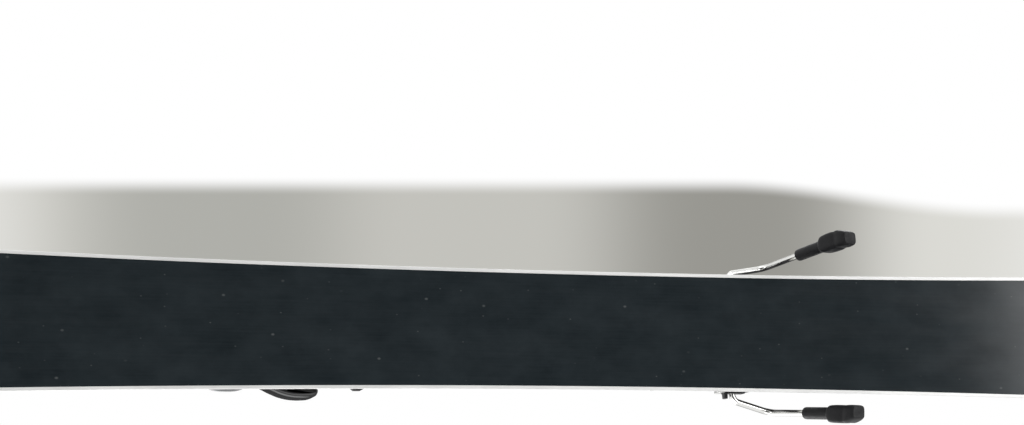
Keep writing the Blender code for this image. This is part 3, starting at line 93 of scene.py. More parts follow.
# Ski outline, seen from above
WAIST_WIDTH = 72
WAIST_X = -34
SIDECUT_RADIUS = 14800
SHOVEL_X = 740
SHOVEL_LENGTH = 192
SHOVEL_POWERS = (0.77, 1.0)  # of the sine along the end and the cosine across it
HEEL_CONTACT_X = -690
TAIL_LENGTH = 80
TAIL_POWERS = (0.5, 0.5)
END_HALF = 1.5  # half width at the last station of a rounded end
SIDE_STEP = 12
END_STEPS = 44

# Ski profile, seen from the side
CAMBER = 4
FLAT_X = 150
PLATE_ZONE = 250
THICK_MIDDLE = 16
# Each end's contact point, length past it, radius of its rise, and thickness at both ends of that length
FRONT = (SHOVEL_X, SHOVEL_LENGTH, 300, 9, 6.5)
BACK = (HEEL_CONTACT_X, -TAIL_LENGTH, 400, 8.5, 7.5)

# Ski layers: heights above the running surface, or depths below the top
BASE_THICK = 1.3
EDGE_WIDTH = 2.0
EDGE_TOP = 2.1
EDGE_CHAMFER = 0.25
FLANGE_INSET = 6.5
FLANGE_LOW = 1.6
LAMINATE_INSET = 0.4
LAMINATE_TOP = 3.0
SIDEWALL_INNER = 6.6
TOP_INSET = 1.7
CORE_COVER = 2.0
SHEET_THICK = 0.8
SHOULDER_DEPTH = 1.1  # how far the top drops towards the sides, clear of the binding
SHOULDER_REACH = 6.5
SHOULDER_START = (20, 120)  # past the binding's zone, and how long it takes
PROTECTOR_X = -742.5
PROTECTOR_GAP = 3
AHEAD_OF_GUARD = (PROTECTOR_X + PROTECTOR_GAP, math.inf)

# Fasteners: profiles pair a distance along the axis with a radius
SCREW_RIM = 4.6
SCREW_SHANK = 2.7
RECESS = (2.6, 0.55)  # reach and half width of a cross recess's arms
RECESS_LEVELS = ((-2.2, 0.45), (PAST, 1.1))  # height, share of its width
THREAD_PITCH = 1.5

# Toe piece
WING_PIN = (164, 24.5)
WING_PIN_RADIUS = 3
WING_BOSS_RADIUS = 7
WING_LOW = 24.6
WING_HIGH = 50
WING_LIP_TOP = 54.5
WING_ARM = ((164, 29.2), (156.5, 32.2), (150, 35.5), (144.5, 37.9), (138.6, 39.4), (132.6, 39.8),
            (126.5, 39.5), (122.8, 38.2), (122.4, 35.5), (130, 35.0), (138, 33.5), (146, 29.5),
            (150.5, 25.5), (158, 22))  # left wing from above, round the boot's toe
WING_LIP = ((147, 36.6), (138.6, 39.2), (131, 39.4), (127, 38.2), (128, 33), (136, 27), (145, 22),
            (148.5, 24))
WING_FINGER = ((164, 26.5), (160, 23.5), (163.5, 14), (166, 13), (167.5, 21.5))
WING_FINGER_Z = (34, 42)
WING_ARM_TAPER = ((WING_LOW, 0.955), (26.0, 0.979), (27.6, 0.993), (29.6, 1.0), (43, 1.0),
                  (WING_HIGH, 0.96))  # height, share of y
WING_LIP_TAPER = ((48, 0.97), (WING_LIP_TOP, 0.94))
WING_HOLLOW = ((141.5, 36.0), (138.2, 36.6), (132.6, 37.2), (127.6, 37.2), (126.0, 36.8), (130.4, 36.0),
               (138.4, 34.6), (142.5, 32.6))  # open from below
WING_HOLLOW_TOP = 34
WING_POCKET = ((143, 172.2), (16, 45))
HOUSING_X = 178
HOUSING_HALF_LENGTH = 24
HOUSING_HALF_WIDTH = 36.8
HOUSING_FULLNESS = 2.6  # 2 is round, larger is squarer
HOUSING_Z = (20.6, 62.5)
HOUSING_LEVELS = ((0.0, 0.975, 0.97), (0.03, 1.0, 1.0), (0.095, 1.0, 1.0), (0.13, 0.93, 0.98),
                  (0.40, 0.93, 0.99), (0.62, 0.905, 0.975), (0.77, 0.864, 0.94), (0.88, 0.735, 0.83),
                  (0.96, 0.535, 0.64), (1.0, 0.337, 0.44))  # shares of its height, width and length
HOUSING_SEAM = (0.30, 0.012, 0.018)  # shares: its height, its spread and its depth
HOUSING_LIP = ((143, 165), (-14, 14))
HOUSING_LIP_Z = (51, 55.5)
GRIP_GROOVE = ((166, 169), (33, 40))
GRIP_GROOVE_Z = (46, 53)
GRIP_SHIFTS = (0, 6, 12, 18)
PISTON_SPACE = ((158.5, 168), (-18, 18), (32, 44))
TOE_BORE_Z = 38
TOE_BORE_RADIUS = 9.5
TOE_BORE = ((0, 4.5), (7, 4.5), (7, TOE_BORE_RADIUS), (30, TOE_BORE_RADIUS), (30, 3), (32.8, 3),
            (32.8, 5.3), (42, 5.3))
TOE_SPRING = ((172.8, 0, TOE_BORE_Z), (184.6, 0, TOE_BORE_Z), 6.6, 1.1, 4)  # ends, radii and turns
TOE_WINDOW_X = (182, 192)
TOE_WINDOW_Z = (57.5, 59.9)
TOE_WINDOW_CUT = (45, 65.5)
TOE_MARKS = (183.5, 1.8)  # the first one's x, and from one to the next
WINDOW_HALF = 4
MARKS = 5
MARK_HALF = 2.2
MARK_WIDTH = 0.4
MARK_Z = (0.02, 0.12)  # above the window
PISTON_ROUNDING = 0.5
SLIDER_FRAME_ROUNDING = 0.6
SLIDER_LOW = 28.8
SLIDER_FOOT_X = (105.2, 138.8)
SLIDER_POCKET = ((118, 127), (6, 30))
SLIDER_GROOVES = ((108, 136), range(-20, 21, 5))

# Heel piece
AXLE = (-196, 48)
AXLE_RADIUS = 4
JAW_HALF = 23.6
CUP_HALF = 28.5
JAW_BODY = ((-158, 76), (-172, 84.5), (-184, 88), (-204, 89), (-222, 87), (-228.5, 77), (-230, 64),
            (-228.5, 58.2), (-206, 47), (-202, 40), (-196, 38), (-181, 38.2), (-176, 29.5),
            (-158, 29.5))  # from the side
JAW_CUP = ((-141, 60.5), (-140.5, 65.5), (-146, 70), (-156, 79), (-171.5, 85), (-171.5, 40),
           (-166, 33), (-154.4, 29.3), (-154.4, 26.8), (-145, 26.8), (-143.6, 30), (-143.6, 36))
JAW_PANEL = ((-214, 62), (-218, 78), (-188, 82), (-172, 78), (-172, 66), (-190, 60))
JAW_PANEL_DEPTH = 0.9
THROUGH_JAW = 30  # half length of a rod that bores through it
BOOT_HEEL_X = -153.5
CUP_RADIUS = 36
CUP_Z = (30.4, 61.5)
CAM_SPACE = ((-189, -176), (-7, 7), (50, 68))
HEEL_BORE_Z = 68
HEEL_BORE_RADIUS = 10.5
HEEL_BORE_X = -234
HEEL_BORE = ((0, 6), (8.2, 6), (8.2, 3.5), (12, 3.5), (12, HEEL_BORE_RADIUS), (72, HEEL_BORE_RADIUS))
HEEL_PISTON_X = -172
HEEL_PISTON = ((0, 9.5), (0.4, 9.9), (8, 9.9), (9, 9))
HEEL_SPRING = ((-196.3, 0, HEEL_BORE_Z), (-174.3, 0, HEEL_BORE_Z), 7.6, 1.5, 5)
HEEL_WINDOW_X = (-205, -193)
HEEL_WINDOW_Z = (84.6, 86.8)
HEEL_WINDOW_CUT = (73, 92)
HEEL_MARKS = (-203.5, 2.3)
LEVER_PIN = (-216, 84.4)
LEVER_PIN_RADIUS = 2
LEVER_HUB_RADIUS = 4.2
LEVER_HUB_HALF = 9
LEVER_SPACE_X = (-240, -208.5)
LEVER_SPACE_TOP = 95
LEVER_HALF = 16.5
LEVER_BLADE = ((-209, 90.8), (-224, 90.5), (-240, 95.5), (-262, 104), (-263, 108), (-256, 108.5),
               (-244, 101.5), (-228, 99), (-209, 97))  # from the side
LEVER_NECK = ((-211.8, 86.4), (-211.8, 92), (-221, 92), (-220.2, 86.4))
LEVER_DISH = ((-256, 110), (-236, 110), (-238, 98.6), (-253, 102.2))  # hollow for a pole's tip
LEVER_DISH_HALF = 8
LEVER_RIB_X = (-214, -218.5, -223, -227.5)
LEVER_RIB_Z = 99.3
LEVER_RIB_RADIUS = 1.2
PRESSURE_SPRING = ((-201.9, 0, 31.6), (-188.1, 0, 31.6), 3.0, 0.8, 5)
LENGTH_SCREW_X = (-216, -176)
LENGTH_SCREW_Z = 23.1
LENGTH_SCREW_PITCH = 5
LENGTH_HEAD = ((0, 2.2), (0.4, 2.6), (4.6, 2.6))
LENGTH_SLOT = (1.5, 3, 0.6)  # its depth, half length and half width

# Release screws and nuts: height; the nut's x and profile; the thread's ends, crest and root; the
# head's x and profile; its face's x, and which way that looks
RELEASES = {
    "toe": (TOE_BORE_Z, 186.2, ((0, 8.3), (0.5, 8.8), (3.3, 8.8), (3.8, 8.3)), (174, 197.8), 2.5, 2.1,
            197.3, ((0, 4.4), (0.4, 4.8), (3.2, 4.8), (3.7, 4.3)), 201, 1),
    "heel": (HEEL_BORE_Z, -203, ((0, 9.4), (0.5, 9.9), (4, 9.9), (4.5, 9.4)), (-226.5, -180), 3, 2.5,
             -230, ((0, 5.0), (0.5, 5.5), (3.6, 5.5), (4, 5.1)), -230, -1),
}

# Brake
BRAKE_PIVOT = (-139.2, 36.3, 21.0)
BRAKE_AXIS = (-0.10, 0.985, 0.05)
WIRE_RADIUS = 2
CRANK_RADIUS = 17.5
CRANK_ANGLE = 60.5
CRANK_INNER_Y = 9
CRANK_Y = 16
ARM_CORNER_Y = 40.0
ARM_BEND_RADIUS = 6.0
ARM_ELBOW = (-169.3, 46.2, 33.4)
FOOT_END = (-192.3, 54.2, -47.6)
FOOT_LENGTH = 49
WIRE_IN_FOOT = 30
# Distance along the arm; reach inboard, outboard, forwards and backwards; squareness
FOOT_LEVELS = ((0.0, 2.7, 2.7, 2.7, 2.7, 2.0), (0.6, 3.4, 3.4, 3.4, 3.4, 2.0),
               (1.6, 3.8, 3.8, 3.8, 3.8, 2.0), (12.0, 3.8, 3.8, 3.8, 3.8, 2.1),
               (22.4, 3.8, 3.8, 4.0, 4.0, 2.2), (23.6, 3.9, 4.2, 4.2, 4.3, 2.4),
               (24.7, 4.4, 5.1, 4.6, 5.0, 3.0), (26.6, 5.0, 5.6, 4.8, 6.2, 4.2),
               (31.0, 5.2, 5.8, 4.9, 6.7, 5.0), (35.4, 5.2, 5.8, 4.8, 7.0, 5.2),
               (37.4, 5.05, 5.6, 4.6, 6.7, 5.2), (39.2, 4.85, 5.5, 4.4, 6.4, 5.2),
               (41.0, 5.1, 5.6, 4.6, 6.6, 5.2), (43.4, 5.3, 5.0, 4.8, 6.6, 5.0),
               (46.4, 5.3, 3.9, 4.7, 6.1, 4.6), (48.4, 5.1, 2.9, 4.4, 5.2, 4.2),
               (49.0, 4.7, 2.4, 4.0, 4.5, 4.0))
PEDAL_PIN = (-88, 26.3)
PEDAL_PIN_RADIUS = 1.6
PEDAL_HALF = 31
BRAKE_SPRING = ((PEDAL_PIN[0], -7.5, PEDAL_PIN[1]), (PEDAL_PIN[0], 7.5, PEDAL_PIN[1]), 3.0, 0.7, 5,
                -math.pi / 2)  # the last is where its turns start
PEDAL_TILT = 18.5
PEDAL_PLATE = ((-3, 1.0), (-3, 4.4), (43.5, 4.4), (43.5, 0), (3.5, 0))
PEDAL_SPRING_ROOM = ((-6, -6), (5.4, -6), (5.4, 6), (-6, 6))
PEDAL_SPRING_ROOM_HALF = 11
PEDAL_KNUCKLE_Y = (12, 30)
PEDAL_KNUCKLE_RADIUS = 3.4
PEDAL_RIBS = 7
PEDAL_RIB = (9, 4.5, 1.6)  # the first's place behind the pin, from one to the next, and width
PEDAL_RIB_Z = (3.8, 6)

# More CAD solids that only need their corners rounded, and by how much
ROUNDED = {"toe_base_plate": 0.5, "heel_track": 0.35, "heel_base": 0.8, "length_block": 0.5,
           "heel_carriage": 0.8, "brake_bracket": 0.35, "brake_block_left": 0.5,
           "brake_block_right": 0.5}

# Camera, fitted to the ski's edges in the photograph
PICTURE_WIDTH = 1024  # pixels
FOCAL_PIXELS = 2124
SENSOR_WIDTH = 36
CAMERA_TURNS = (-0.191637, 0.282246, -0.033075)  # about x, y and z, in radians
CAMERA_SHIFT = (9.018, -70.076, -1276.187)
CAMERA_START = ((-1, 0, 0), (0, 1, 0), (0, 0, -1))  # looking up at the running surface

# Studio: a painted shadow, a grey band behind the ski, by slopes up and sideways from the camera's axis
GREY_ABOVE = (0.0172, 0.0080)  # where the white turns to painted shadow, going down to the ski
GREY_LOWER = 0.0126  # how much lower it does so at the right
GREY_RIGHT = (0.10, 0.23)
GREY_BELOW = (-0.060, -0.036)
GREY_AHEAD = (0.95, 0.98)  # share of a direction that is the camera's own
GREY_DARKEST = 0.104  # sideways
GREY_PACE = 25.4
GREY_DARK_X = (-0.147, GREY_DARKEST)
GREY_DARK = ((0.43, 0.43, 0.40), (0.315, 0.31, 0.285))  # the painted shadow's darker place at the left and the one at the right
GREY_MIDDLE = -0.050  # between the painted shadow's two darker places
GREY_PALE_X = (0.06, 0.27)  # away from that middle
GREY_PALE = ((0.545, 0.54, 0.505), (0.71, 0.705, 0.665))
ROOM_BELOW = (-0.93, -0.45, 0.10, 1.0)  # heights of a direction, and the strengths there
SOFT_LIGHT = (-0.6, 0.3, 0.12, 0.48)  # the same, for the light
FLOOR_REACH = 20  # metres
FLOOR_BELOW = 0.0005
FLOOR_FADE = (0.7, 3.0, 0.1, 1.0)  # distances, and the share of white there
# Place, target and size in metres, and power in watts
LAMPS = {
    "key_above": ((0.5, -1.9, 2.3), (0, 0, 0), (2.2, 1.6), 34),
    "fill_above": ((-1.2, 1.9, 2.0), (0, 0, 0), (2.2, 1.8), 24),
    "near_side_below": ((0.1, -1.9, -0.9), (0, 0, 0), (2.4, 1.0), 12),
    "far_side_below": ((0.1, 1.9, -0.9), (0, 0, 0), (2.4, 1.0), 15),
    "front_below": ((2.0, 0.2, -0.9), (0, 0, 0), (1.2, 1.2), 8),
    "tail_below": ((-1.665, 0.17, -1.25), (-0.3, 0, 0), (1.1, 1.2), 18),
}


# Shapes, as points and faces

def merge(*shapes):
    points, faces = [], []
    for more_points, more_faces in shapes:
        start = len(points)
        points += more_points
        faces += [[start + i for i in face] for face in more_faces]
    return points, faces


def loft(sections):
    """Join closed sections of equal length, with both ends capped."""
    count = len(sections[0])
    points = [point for section in sections for point in section]
    faces = [list(range(count))]
    for start in range(0, len(points) - count, count):
        for i in range(count):
            a = start + i
            b = start + (i + 1) % count
            faces.append([a, b, b + count, a + count])
    faces.append(list(reversed(range(len(points) - count, len(points)))))
    return points, faces


def circle(radius, count, centre=(0, 0)):
    turns = [2 * math.pi * i / count for i in range(count)]
    return [(centre[0] + radius * math.cos(t), centre[1] + radius * math.sin(t)) for t in turns]


def oblong(half_u, half_v, fullness, count):
    """A rounded oblong; a half measure is a number, or one for each way, the positive one last."""
    points = []
    for turned_point in circle(1, count):
        point = []
        for part, half in zip(turned_point, (half_u, half_v)):
            reach = half[part > 0] if isinstance(half, tuple) else half
            point.append(math.copysign(abs(part) ** (2 / fullness), part) * reach)
        points.append(tuple(point))
    return points


def moved_square(before, here, after, inset, turn):
    """A corner moved square to its outline, to the left of the way it runs where turn is 1."""
    into = Vector((here[0] - before[0], here[1] - before[1])).normalized()
    out = Vector((after[0] - here[0], after[1] - here[1])).normalized()
    across = Vector((-into.y, into.x)) * turn
    normal = across + Vector((-out.y, out.x)) * turn
    if normal.length < NOTHING:
        normal = across
    normal.normalize()
    shift = inset / max(normal.dot(across), 0.5)
    return here[0] + normal.x * shift, here[1] + normal.y * shift


def drawn_in_closed(outline, inset):
    """A closed outline moved inwards by inset, square to itself."""
    following = list(outline[1:]) + [outline[0]]
    clockwise = sum((bx - ax) * (by + ay) for (ax, ay), (bx, by) in zip(outline, following)) > 0
    return [moved_square(outline[i - 1], here, following[i], inset, -1 if clockwise else 1)
            for i, here in enumerate(outline)]


def filleted(outline, radius):
    """A closed outline with each corner turned in an arc, of the same count of points whatever its size."""
    count = len(outline)
    rounded = []
    for i, corner in enumerate(outline):
        corner = Vector(corner)
        back = Vector(outline[i - 1]) - corner
        ahead = Vector(outline[(i + 1) % count]) - corner
        half = back.angle(ahead) / 2
        setback = min(radius / math.tan(half), 0.48 * min(back.length, ahead.length))
        start = corner + back.normalized() * setback
        end = corner + ahead.normalized() * setback
        for k in range(FILLET_STEPS + 1):
            t = k / FILLET_STEPS
            rounded.append(tuple(start * (1 - t) ** 2 + corner * 2 * t * (1 - t) + end * t * t))
    return rounded


def placed(outline, height, axis):
    """A flat outline as points at one height along an axis."""
    spot = "xyz".index(axis)
    return [(*point[:spot], height, *point[spot:]) for point in outline]


def rim_rings(outline, rim, fillet, steps):
    """Outlines that widen round a quarter circle from an end face, each with its distance from that face."""
    rings = []
    for i in range(steps + 1):
        turn = math.pi / 2 * i / steps
        inset = rim * (1 - math.sin(turn))
        ring = drawn_in_closed(outline, inset)
        if fillet:
            ring = filleted(ring, max(fillet - inset, 0.2))
        rings.append((rim * (1 - math.cos(turn)), ring))
    return rings


def between(place, pairs):
    """The value at a place, straight between pairs of a place and its value."""
    for (start, low), (end, high) in zip(pairs, pairs[1:]):
        if place <= end:
            return low + (high - low) * max(place - start, 0) / (end - start)
    return pairs[-1][1]


def soft_prism(outline, low, high, rim, axis="z", fillet=0.0, steps=3, taper=((0, 1),)):
    """An outline drawn along an axis, with its corners filleted and both rims rounded.

    A taper pairs heights with the outline's share of its second measure there.
    """
    rings = rim_rings(outline, rim, fillet, steps)
    levels = [(low + up, ring) for up, ring in rings]
    levels += [(height, rings[-1][1]) for height, _ in taper if low + rim < height < high - rim]
    levels += [(high - up, ring) for up, ring in reversed(rings)]
    sections = []
    for height, ring in levels:
        share = between(height, taper)
        sections.append(placed([(u, v * share) for u, v in ring], height, axis))
    return loft(sections)


def prism(outline, low, high, axis="z"):
    return loft([placed(outline, low, axis), placed(outline, high, axis)])


def rectangle(x, y):
    return [(x[0], y[0]), (x[1], y[0]), (x[1], y[1]), (x[0], y[1])]


def box(x, y, z):
    return prism(rectangle(x, y), *z)


def both_sides(x, y, z):
    """A pair of boxes, one on each side of the ski; y is the left one's."""
    return merge(box(x, y, z), box(x, (-y[1], -y[0]), z))


def frame_along(direction, up=(0, 0, 1)):
    """Two unit vectors square to a direction."""
    along = Vector(direction).normalized()
    side = along.cross(Vector(up))
    if side.length < NOTHING:
        side = along.cross(Vector((1, 0, 0)))
    side.normalize()
    return side, side.cross(along)


def ring_at(centre, side, other, section):
    """A flat section laid round a centre, as points."""
    return [tuple(centre + side * u + other * v) for u, v in section]


def turned(start, direction, profile, count=ROUND):
    """A turned shape: profile lists distance along the direction and radius."""
    along = Vector(direction).normalized()
    side, other = frame_along(direction)
    return loft([ring_at(Vector(start) + along * distance, side, other, circle(radius, count))
                 for distance, radius in profile])


def rod(start, end, radius, count=ROUND):
    way = Vector(end) - Vector(start)
    return turned(start, way, [(0, radius), (way.length, radius)], count)


def pin(start, end, radius):
    """A round pin with chamfered ends."""
    way = Vector(end) - Vector(start)
    narrow = radius - PIN_CHAMFER
    return turned(start, way, [(0, narrow), (PIN_CHAMFER, radius), (way.length - PIN_CHAMFER, radius),
                               (way.length, narrow)])


def cross_rod(place, half, radius, count=ROUND):
    """A rod from side to side of the ski, at a place in x and z."""
    x, z = place
    return rod((x, -half, z), (x, half, z), radius, count)


def threaded(x, z, crest, root, pitch, hand, per_pitch=12):
    """A screw thread along X between a pair of x; hand is 1 for a right-handed thread."""
    start, end = x
    steps = round((end - start) / pitch * per_pitch)
    sections = []
    for i in range(steps + 1):
        along = start + (end - start) * i / steps
        ends = min((along - start) / pitch, (end - along) / pitch, 1)
        section = []
        for k in range(THREAD_POINTS):
            turn = 2 * math.pi * k / THREAD_POINTS
            phase = (along / pitch - hand * turn / (2 * math.pi)) % 1
            height = min(max(1.5 - abs(phase - 0.5) * 5, 0), 1) * ends
            radius = root + (crest - root) * height
            section.append((along, -radius * math.sin(turn), z + radius * math.cos(turn)))
        sections.append(section)
    return loft(sections)


def tube(points, radius, count=16):
    """A round tube along a path, carried round its bends without twist."""
    knots = [Vector(p) for p in points]
    along = (knots[1] - knots[0]).normalized()
    side, other = frame_along(along)
    sections = []
    for i, knot in enumerate(knots):
        before = knots[max(i - 1, 0)]
        after = knots[min(i + 1, len(knots) - 1)]
        ahead = (after - before).normalized()
        turn = along.rotation_difference(ahead)
        side = turn @ side
        other = turn @ other
        along = ahead
        sections.append(ring_at(knot, side, other, circle(radius, count)))
    return loft(sections)


def coil(start, end, radius, wire, turns, phase=0.0):
    """A coil spring as one tube."""
    start, end = Vector(start), Vector(end)
    side, other = frame_along(end - start)
    count = turns * COIL_STEPS
    points = []
    for i in range(count + 1):
        angle = 2 * math.pi * i / COIL_STEPS + phase
        centre = start.lerp(end, i / count)
        points.append(centre + (side * math.cos(angle) + other * math.sin(angle)) * radius)
    return tube(points, wire, 14)


def rounded_path(corners, radius):
    """A path through corners, each turned with an arc of the given radius."""
    knots = [Vector(c) for c in corners]
    path = [knots[0]]
    for before, corner, after in zip(knots, knots[1:], knots[2:]):
        towards_start = (before - corner).normalized()
        towards_end = (after - corner).normalized()
        half = towards_start.angle(towards_end) / 2
        shorter = min((before - corner).length, (after - corner).length)
        setback = min(radius / math.tan(half), shorter * 0.45)
        bend = setback * math.tan(half)
        centre = corner + (towards_start + towards_end).normalized() * (bend / math.sin(half))
        first = corner + towards_start * setback - centre
        turn = math.pi - 2 * half
        axis = towards_start.cross(towards_end)
        for i in range(BEND_STEPS + 1):
            path.append(centre + Matrix.Rotation(-turn * i / BEND_STEPS, 3, axis) @ first)
    path.append(knots[-1])
    return path


def mirrored(points, side):
    return [(x, y * side, z) for x, y, z in points]


def curve_value(a, b, c, d, t):
    """The value at share t from b to c, on a curve from a to d that doesn't pass b or c."""
    start = (c - a) / 2
    end = (d - b) / 2
    rise = c - b
    value = b + start * t + (3 * rise - 2 * start - end) * t ** 2 + (start + end - 2 * rise) * t ** 3
    return min(max(value, min(b, c)), max(b, c))


def through(rows, per_gap):
    """Rows of numbers on a smooth curve through the given rows, which keeps each row's order."""
    padded = (rows[0], *rows, rows[-1])
    dense = []
    for four in zip(padded, padded[1:], padded[2:], padded[3:]):
        for k in range(per_gap):
            dense.append(tuple(curve_value(*numbers, k / per_gap) for numbers in zip(*four)))
    dense.append(tuple(rows[-1]))
    return dense


# Pieces

def solid(name, shape):
    """A mesh object in metres from a shape in millimetres."""
    points, faces = shape
    mesh = bpy.data.meshes.new(name)
    mesh.from_pydata([Vector(p) * MM for p in points], [], faces)
    work = bmesh.new()
    work.from_mesh(mesh)
    bmesh.ops.recalc_face_normals(work, faces=work.faces)
    work.to_mesh(mesh)
    work.free()
    return shown(bpy.data.objects.new(name, mesh))


def shown(thing):
    bpy.context.scene.collection.objects.link(thing)
    return thing


def combine(piece, operation, shapes):
    """Join shapes to a piece, or cut them away, one after the other."""
    for shape in shapes:
        tool = solid("tool", shape)
        change = piece.modifiers.new("change", "BOOLEAN")
        change.operation = operation
        change.solver = "EXACT"
        change.object = tool
        evaluated = piece.evaluated_get(bpy.context.evaluated_depsgraph_get())
        result = bpy.data.meshes.new_from_object(evaluated)
        if not result.polygons:
            raise ValueError(piece.name + " vanished")
        piece.modifiers.clear()
        piece.data = result
        bpy.data.objects.remove(tool, do_unlink=True)


def cut(piece, *shapes):
    combine(piece, "DIFFERENCE", shapes)


def join(piece, *shapes):
    combine(piece, "UNION", shapes)


def rounded_copy(node, width):
    """A copy of a CAD node with its longer sharp corners rounded."""
    mesh = frame["nodes"][node].data.copy()
    mesh.materials.clear()
    work = bmesh.new()
    work.from_mesh(mesh)
    bmesh.ops.remove_doubles(work, verts=work.verts, dist=0.005 * MM)
    bmesh.ops.dissolve_limit(work, angle_limit=math.radians(1), verts=work.verts, edges=work.edges)
    corners = [edge for edge in work.edges
               if edge.is_manifold and edge.calc_length() > LEAST_CORNER * MM
               and edge.calc_face_angle(0) > math.radians(LEAST_ANGLE)]
    bmesh.ops.bevel(work, geom=corners, offset=width * MM, offset_type="OFFSET", segments=BEVEL_STEPS,
                    profile=0.5, affect="EDGES", clamp_overlap=True)
    work.to_mesh(mesh)
    work.free()
    return shown(bpy.data.objects.new(node + "_rounded", mesh))


def settle(piece, *nodes, body=None, slot=None, look=None, sharp=38, flatten=True):
    """Shade a piece, finish it, and let it ride on a body and stand for its CAD nodes.

    Its finish is its slot's, unless it has a look of its own.
    """
    body = body or BODY_OF[nodes[0]]
    slot = slot or SLOT_OF[nodes[0]]
    piece.data.shade_smooth()
    piece.data.set_sharp_from_angle(angle=math.radians(sharp))
    if flatten:
        normals = piece.modifiers.new("flat_faces", "WEIGHTED_NORMAL")
        normals.keep_sharp = True
    piece.data.materials.clear()
    piece.data.materials.append(finish(look or slot))
    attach(piece, body)
    if nodes:
        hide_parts(*nodes)
    return piece


def show(name, shape, *nodes, **how):
    return settle(solid(name, shape), *nodes, **how)


def node_box(node):
    """The corners of a CAD node, in millimetres."""
    return [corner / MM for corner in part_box(node)]


# Finishes

class Nodes:
    """A node tree in the making; what goes into a socket is a value or another node's output."""

    def __init__(self, tree, blend="LINEAR"):
        self.tree = tree
        self.blend = blend

    def lay(self, value, socket):
        if isinstance(value, bpy.types.NodeSocket):
            self.tree.links.new(value, socket)
        elif socket.type == "RGBA" and len(value) == 3:
            socket.default_value = (*value, 1)
        else:
            socket.default_value = value

    def node(self, kind, inputs=(), **settings):
        made = self.tree.nodes.new("ShaderNode" + kind)
        for key, value in settings.items():
            setattr(made, key, value)
        for key, value in dict(inputs).items():
            self.lay(value, made.inputs[key])
        return made

    def maths(self, operation, *values):
        return self.node("Math", enumerate(values), operation=operation).outputs[0]

    def times(self, *values):
        return self.maths("MULTIPLY", *values)

    def spread(self, value, low, high, to_low=0.0, to_high=1.0):
        ends = {"Value": value, "From Min": low, "From Max": high, "To Min": to_low, "To Max": to_high}
        return self.node("MapRange", ends, interpolation_type=self.blend).outputs["Result"]

    def mix(self, share, *colours):
        made = self.node("Mix", {"Factor": share}, data_type="RGBA")
        for socket, colour in zip([s for s in made.inputs if s.type == "RGBA"], colours):
            self.lay(colour, socket)
        return next(s for s in made.outputs if s.type == "RGBA")

    def parts(self, vector):
        return self.node("SeparateXYZ", {"Vector": vector}).outputs


class Finish(Nodes):
    """A procedural material in the making: one Principled shader and the nodes that feed it."""

    def __init__(self, name, colour, roughness, metallic=0.0, **sockets):
        self.material = bpy.data.materials.new(name)
        self.material.use_nodes = True
        super().__init__(self.material.node_tree)
        self.shader = self.tree.nodes["Principled BSDF"]
        self.colour = colour
        self.roughness = roughness
        self.feed(Base_Color=colour, Roughness=roughness, Metallic=metallic, **sockets)

    def feed(self, **sockets):
        """Set or feed the shader's sockets, whose names have spaces for these underscores."""
        for name, value in sockets.items():
            self.lay(value, self.shader.inputs[name.replace("_", " ")])

    def where(self, along=1, across=1):
        """The object's own coordinates in metres, stretched."""
        source = self.node("TexCoord").outputs["Object"]
        return self.node("Mapping", {"Vector": source, "Scale": (along, across, 1)}).outputs["Vector"]

    def noise(self, scale, detail=3.0, along=1, across=1, rough=0.5):
        measures = {"Vector": self.where(along, across), "Scale": scale, "Detail": detail, "Roughness": rough}
        return self.node("TexNoise", measures).outputs["Fac"]

    def waves(self, scale, way, **shape):
        """Bands across X or Y; a shape names more of the texture's sockets or settings."""
        profile = shape.pop("wave_profile", "SIN")
        measures = {"Vector": self.where(), "Scale": scale, **shape}
        return self.node("TexWave", measures, bands_direction=way, wave_profile=profile).outputs["Fac"]

    def grains(self, scale, channel):
        """A chance value for each grain of an even pattern."""
        colour = self.node("TexVoronoi", {"Vector": self.where(), "Scale": scale}).outputs["Color"]
        return self.node("SeparateColor", {"Color": colour}).outputs[channel]

    def shades(self, by, amount):
        """The finish's colour, varied by a noise between darker and lighter."""
        darker = tuple(c * (1 - amount) for c in self.colour)
        lighter = tuple(min(c * (1 + amount), 1) for c in self.colour)
        return self.mix(self.spread(by, 0.3, 0.7), darker, lighter)

    def bump(self, height, depth, strength, **over):
        measures = {"Height": height, "Distance": depth * MM, "Strength": strength, **over}
        return self.node("Bump", measures).outputs["Normal"]

    def done(self, colour, smears, amount, *relief, **over):
        """The material, with its colour, a roughness varied by smears, and a bumped surface."""
        low, high = self.roughness - amount, self.roughness + amount
        self.feed(Base_Color=colour, Roughness=self.spread(smears, 0.3, 0.7, low, high),
                  Normal=self.bump(*relief, **over))
        return self.material


def even(name, colour, roughness, tones, smears, relief, metallic=0.0, **sockets):
    """A finish whose tone, roughness and relief each follow a noise.

    Tones and smears give how much they change and the noise's measures, and a relief its depth and
    strength and those measures.
    """
    made = Finish(name, colour, roughness, metallic, **sockets)
    shades = made.shades(made.noise(*tones[1:]), tones[0])
    return made.done(shades, made.noise(*smears[1:]), smears[0], made.noise(*relief[2:]), *relief[:2])


def brushed(name, colour, roughness, metallic, along):
    """Metal with fine lengthwise lines."""
    lines = (700, 3, along)
    return even(name, colour, roughness, (0.06, 35, 2), (0.08, *lines), (0.02, 0.5, *lines), metallic)


def smooth(name, colour, roughness, **sockets):
    """Chrome or spring wire, with light smudges."""
    smudges = (0.05, 90, 4)
    return even(name, colour, roughness, smudges, smudges, (0.008, 0.3, 1100), 1.0, **sockets)


def grained(name, colours, roughness, metallic, grains, smears, relief, **sockets):
    """Zinc's crystals or a paint's flakes; the colours are the middle, darkest and palest ones."""
    made = Finish(name, colours[0], roughness, metallic, **sockets)
    shades = made.mix(made.grains(*grains), *colours[1:])
    return made.done(shades, made.noise(smears[1]), smears[0], made.noise(relief[2]), *relief[:2])


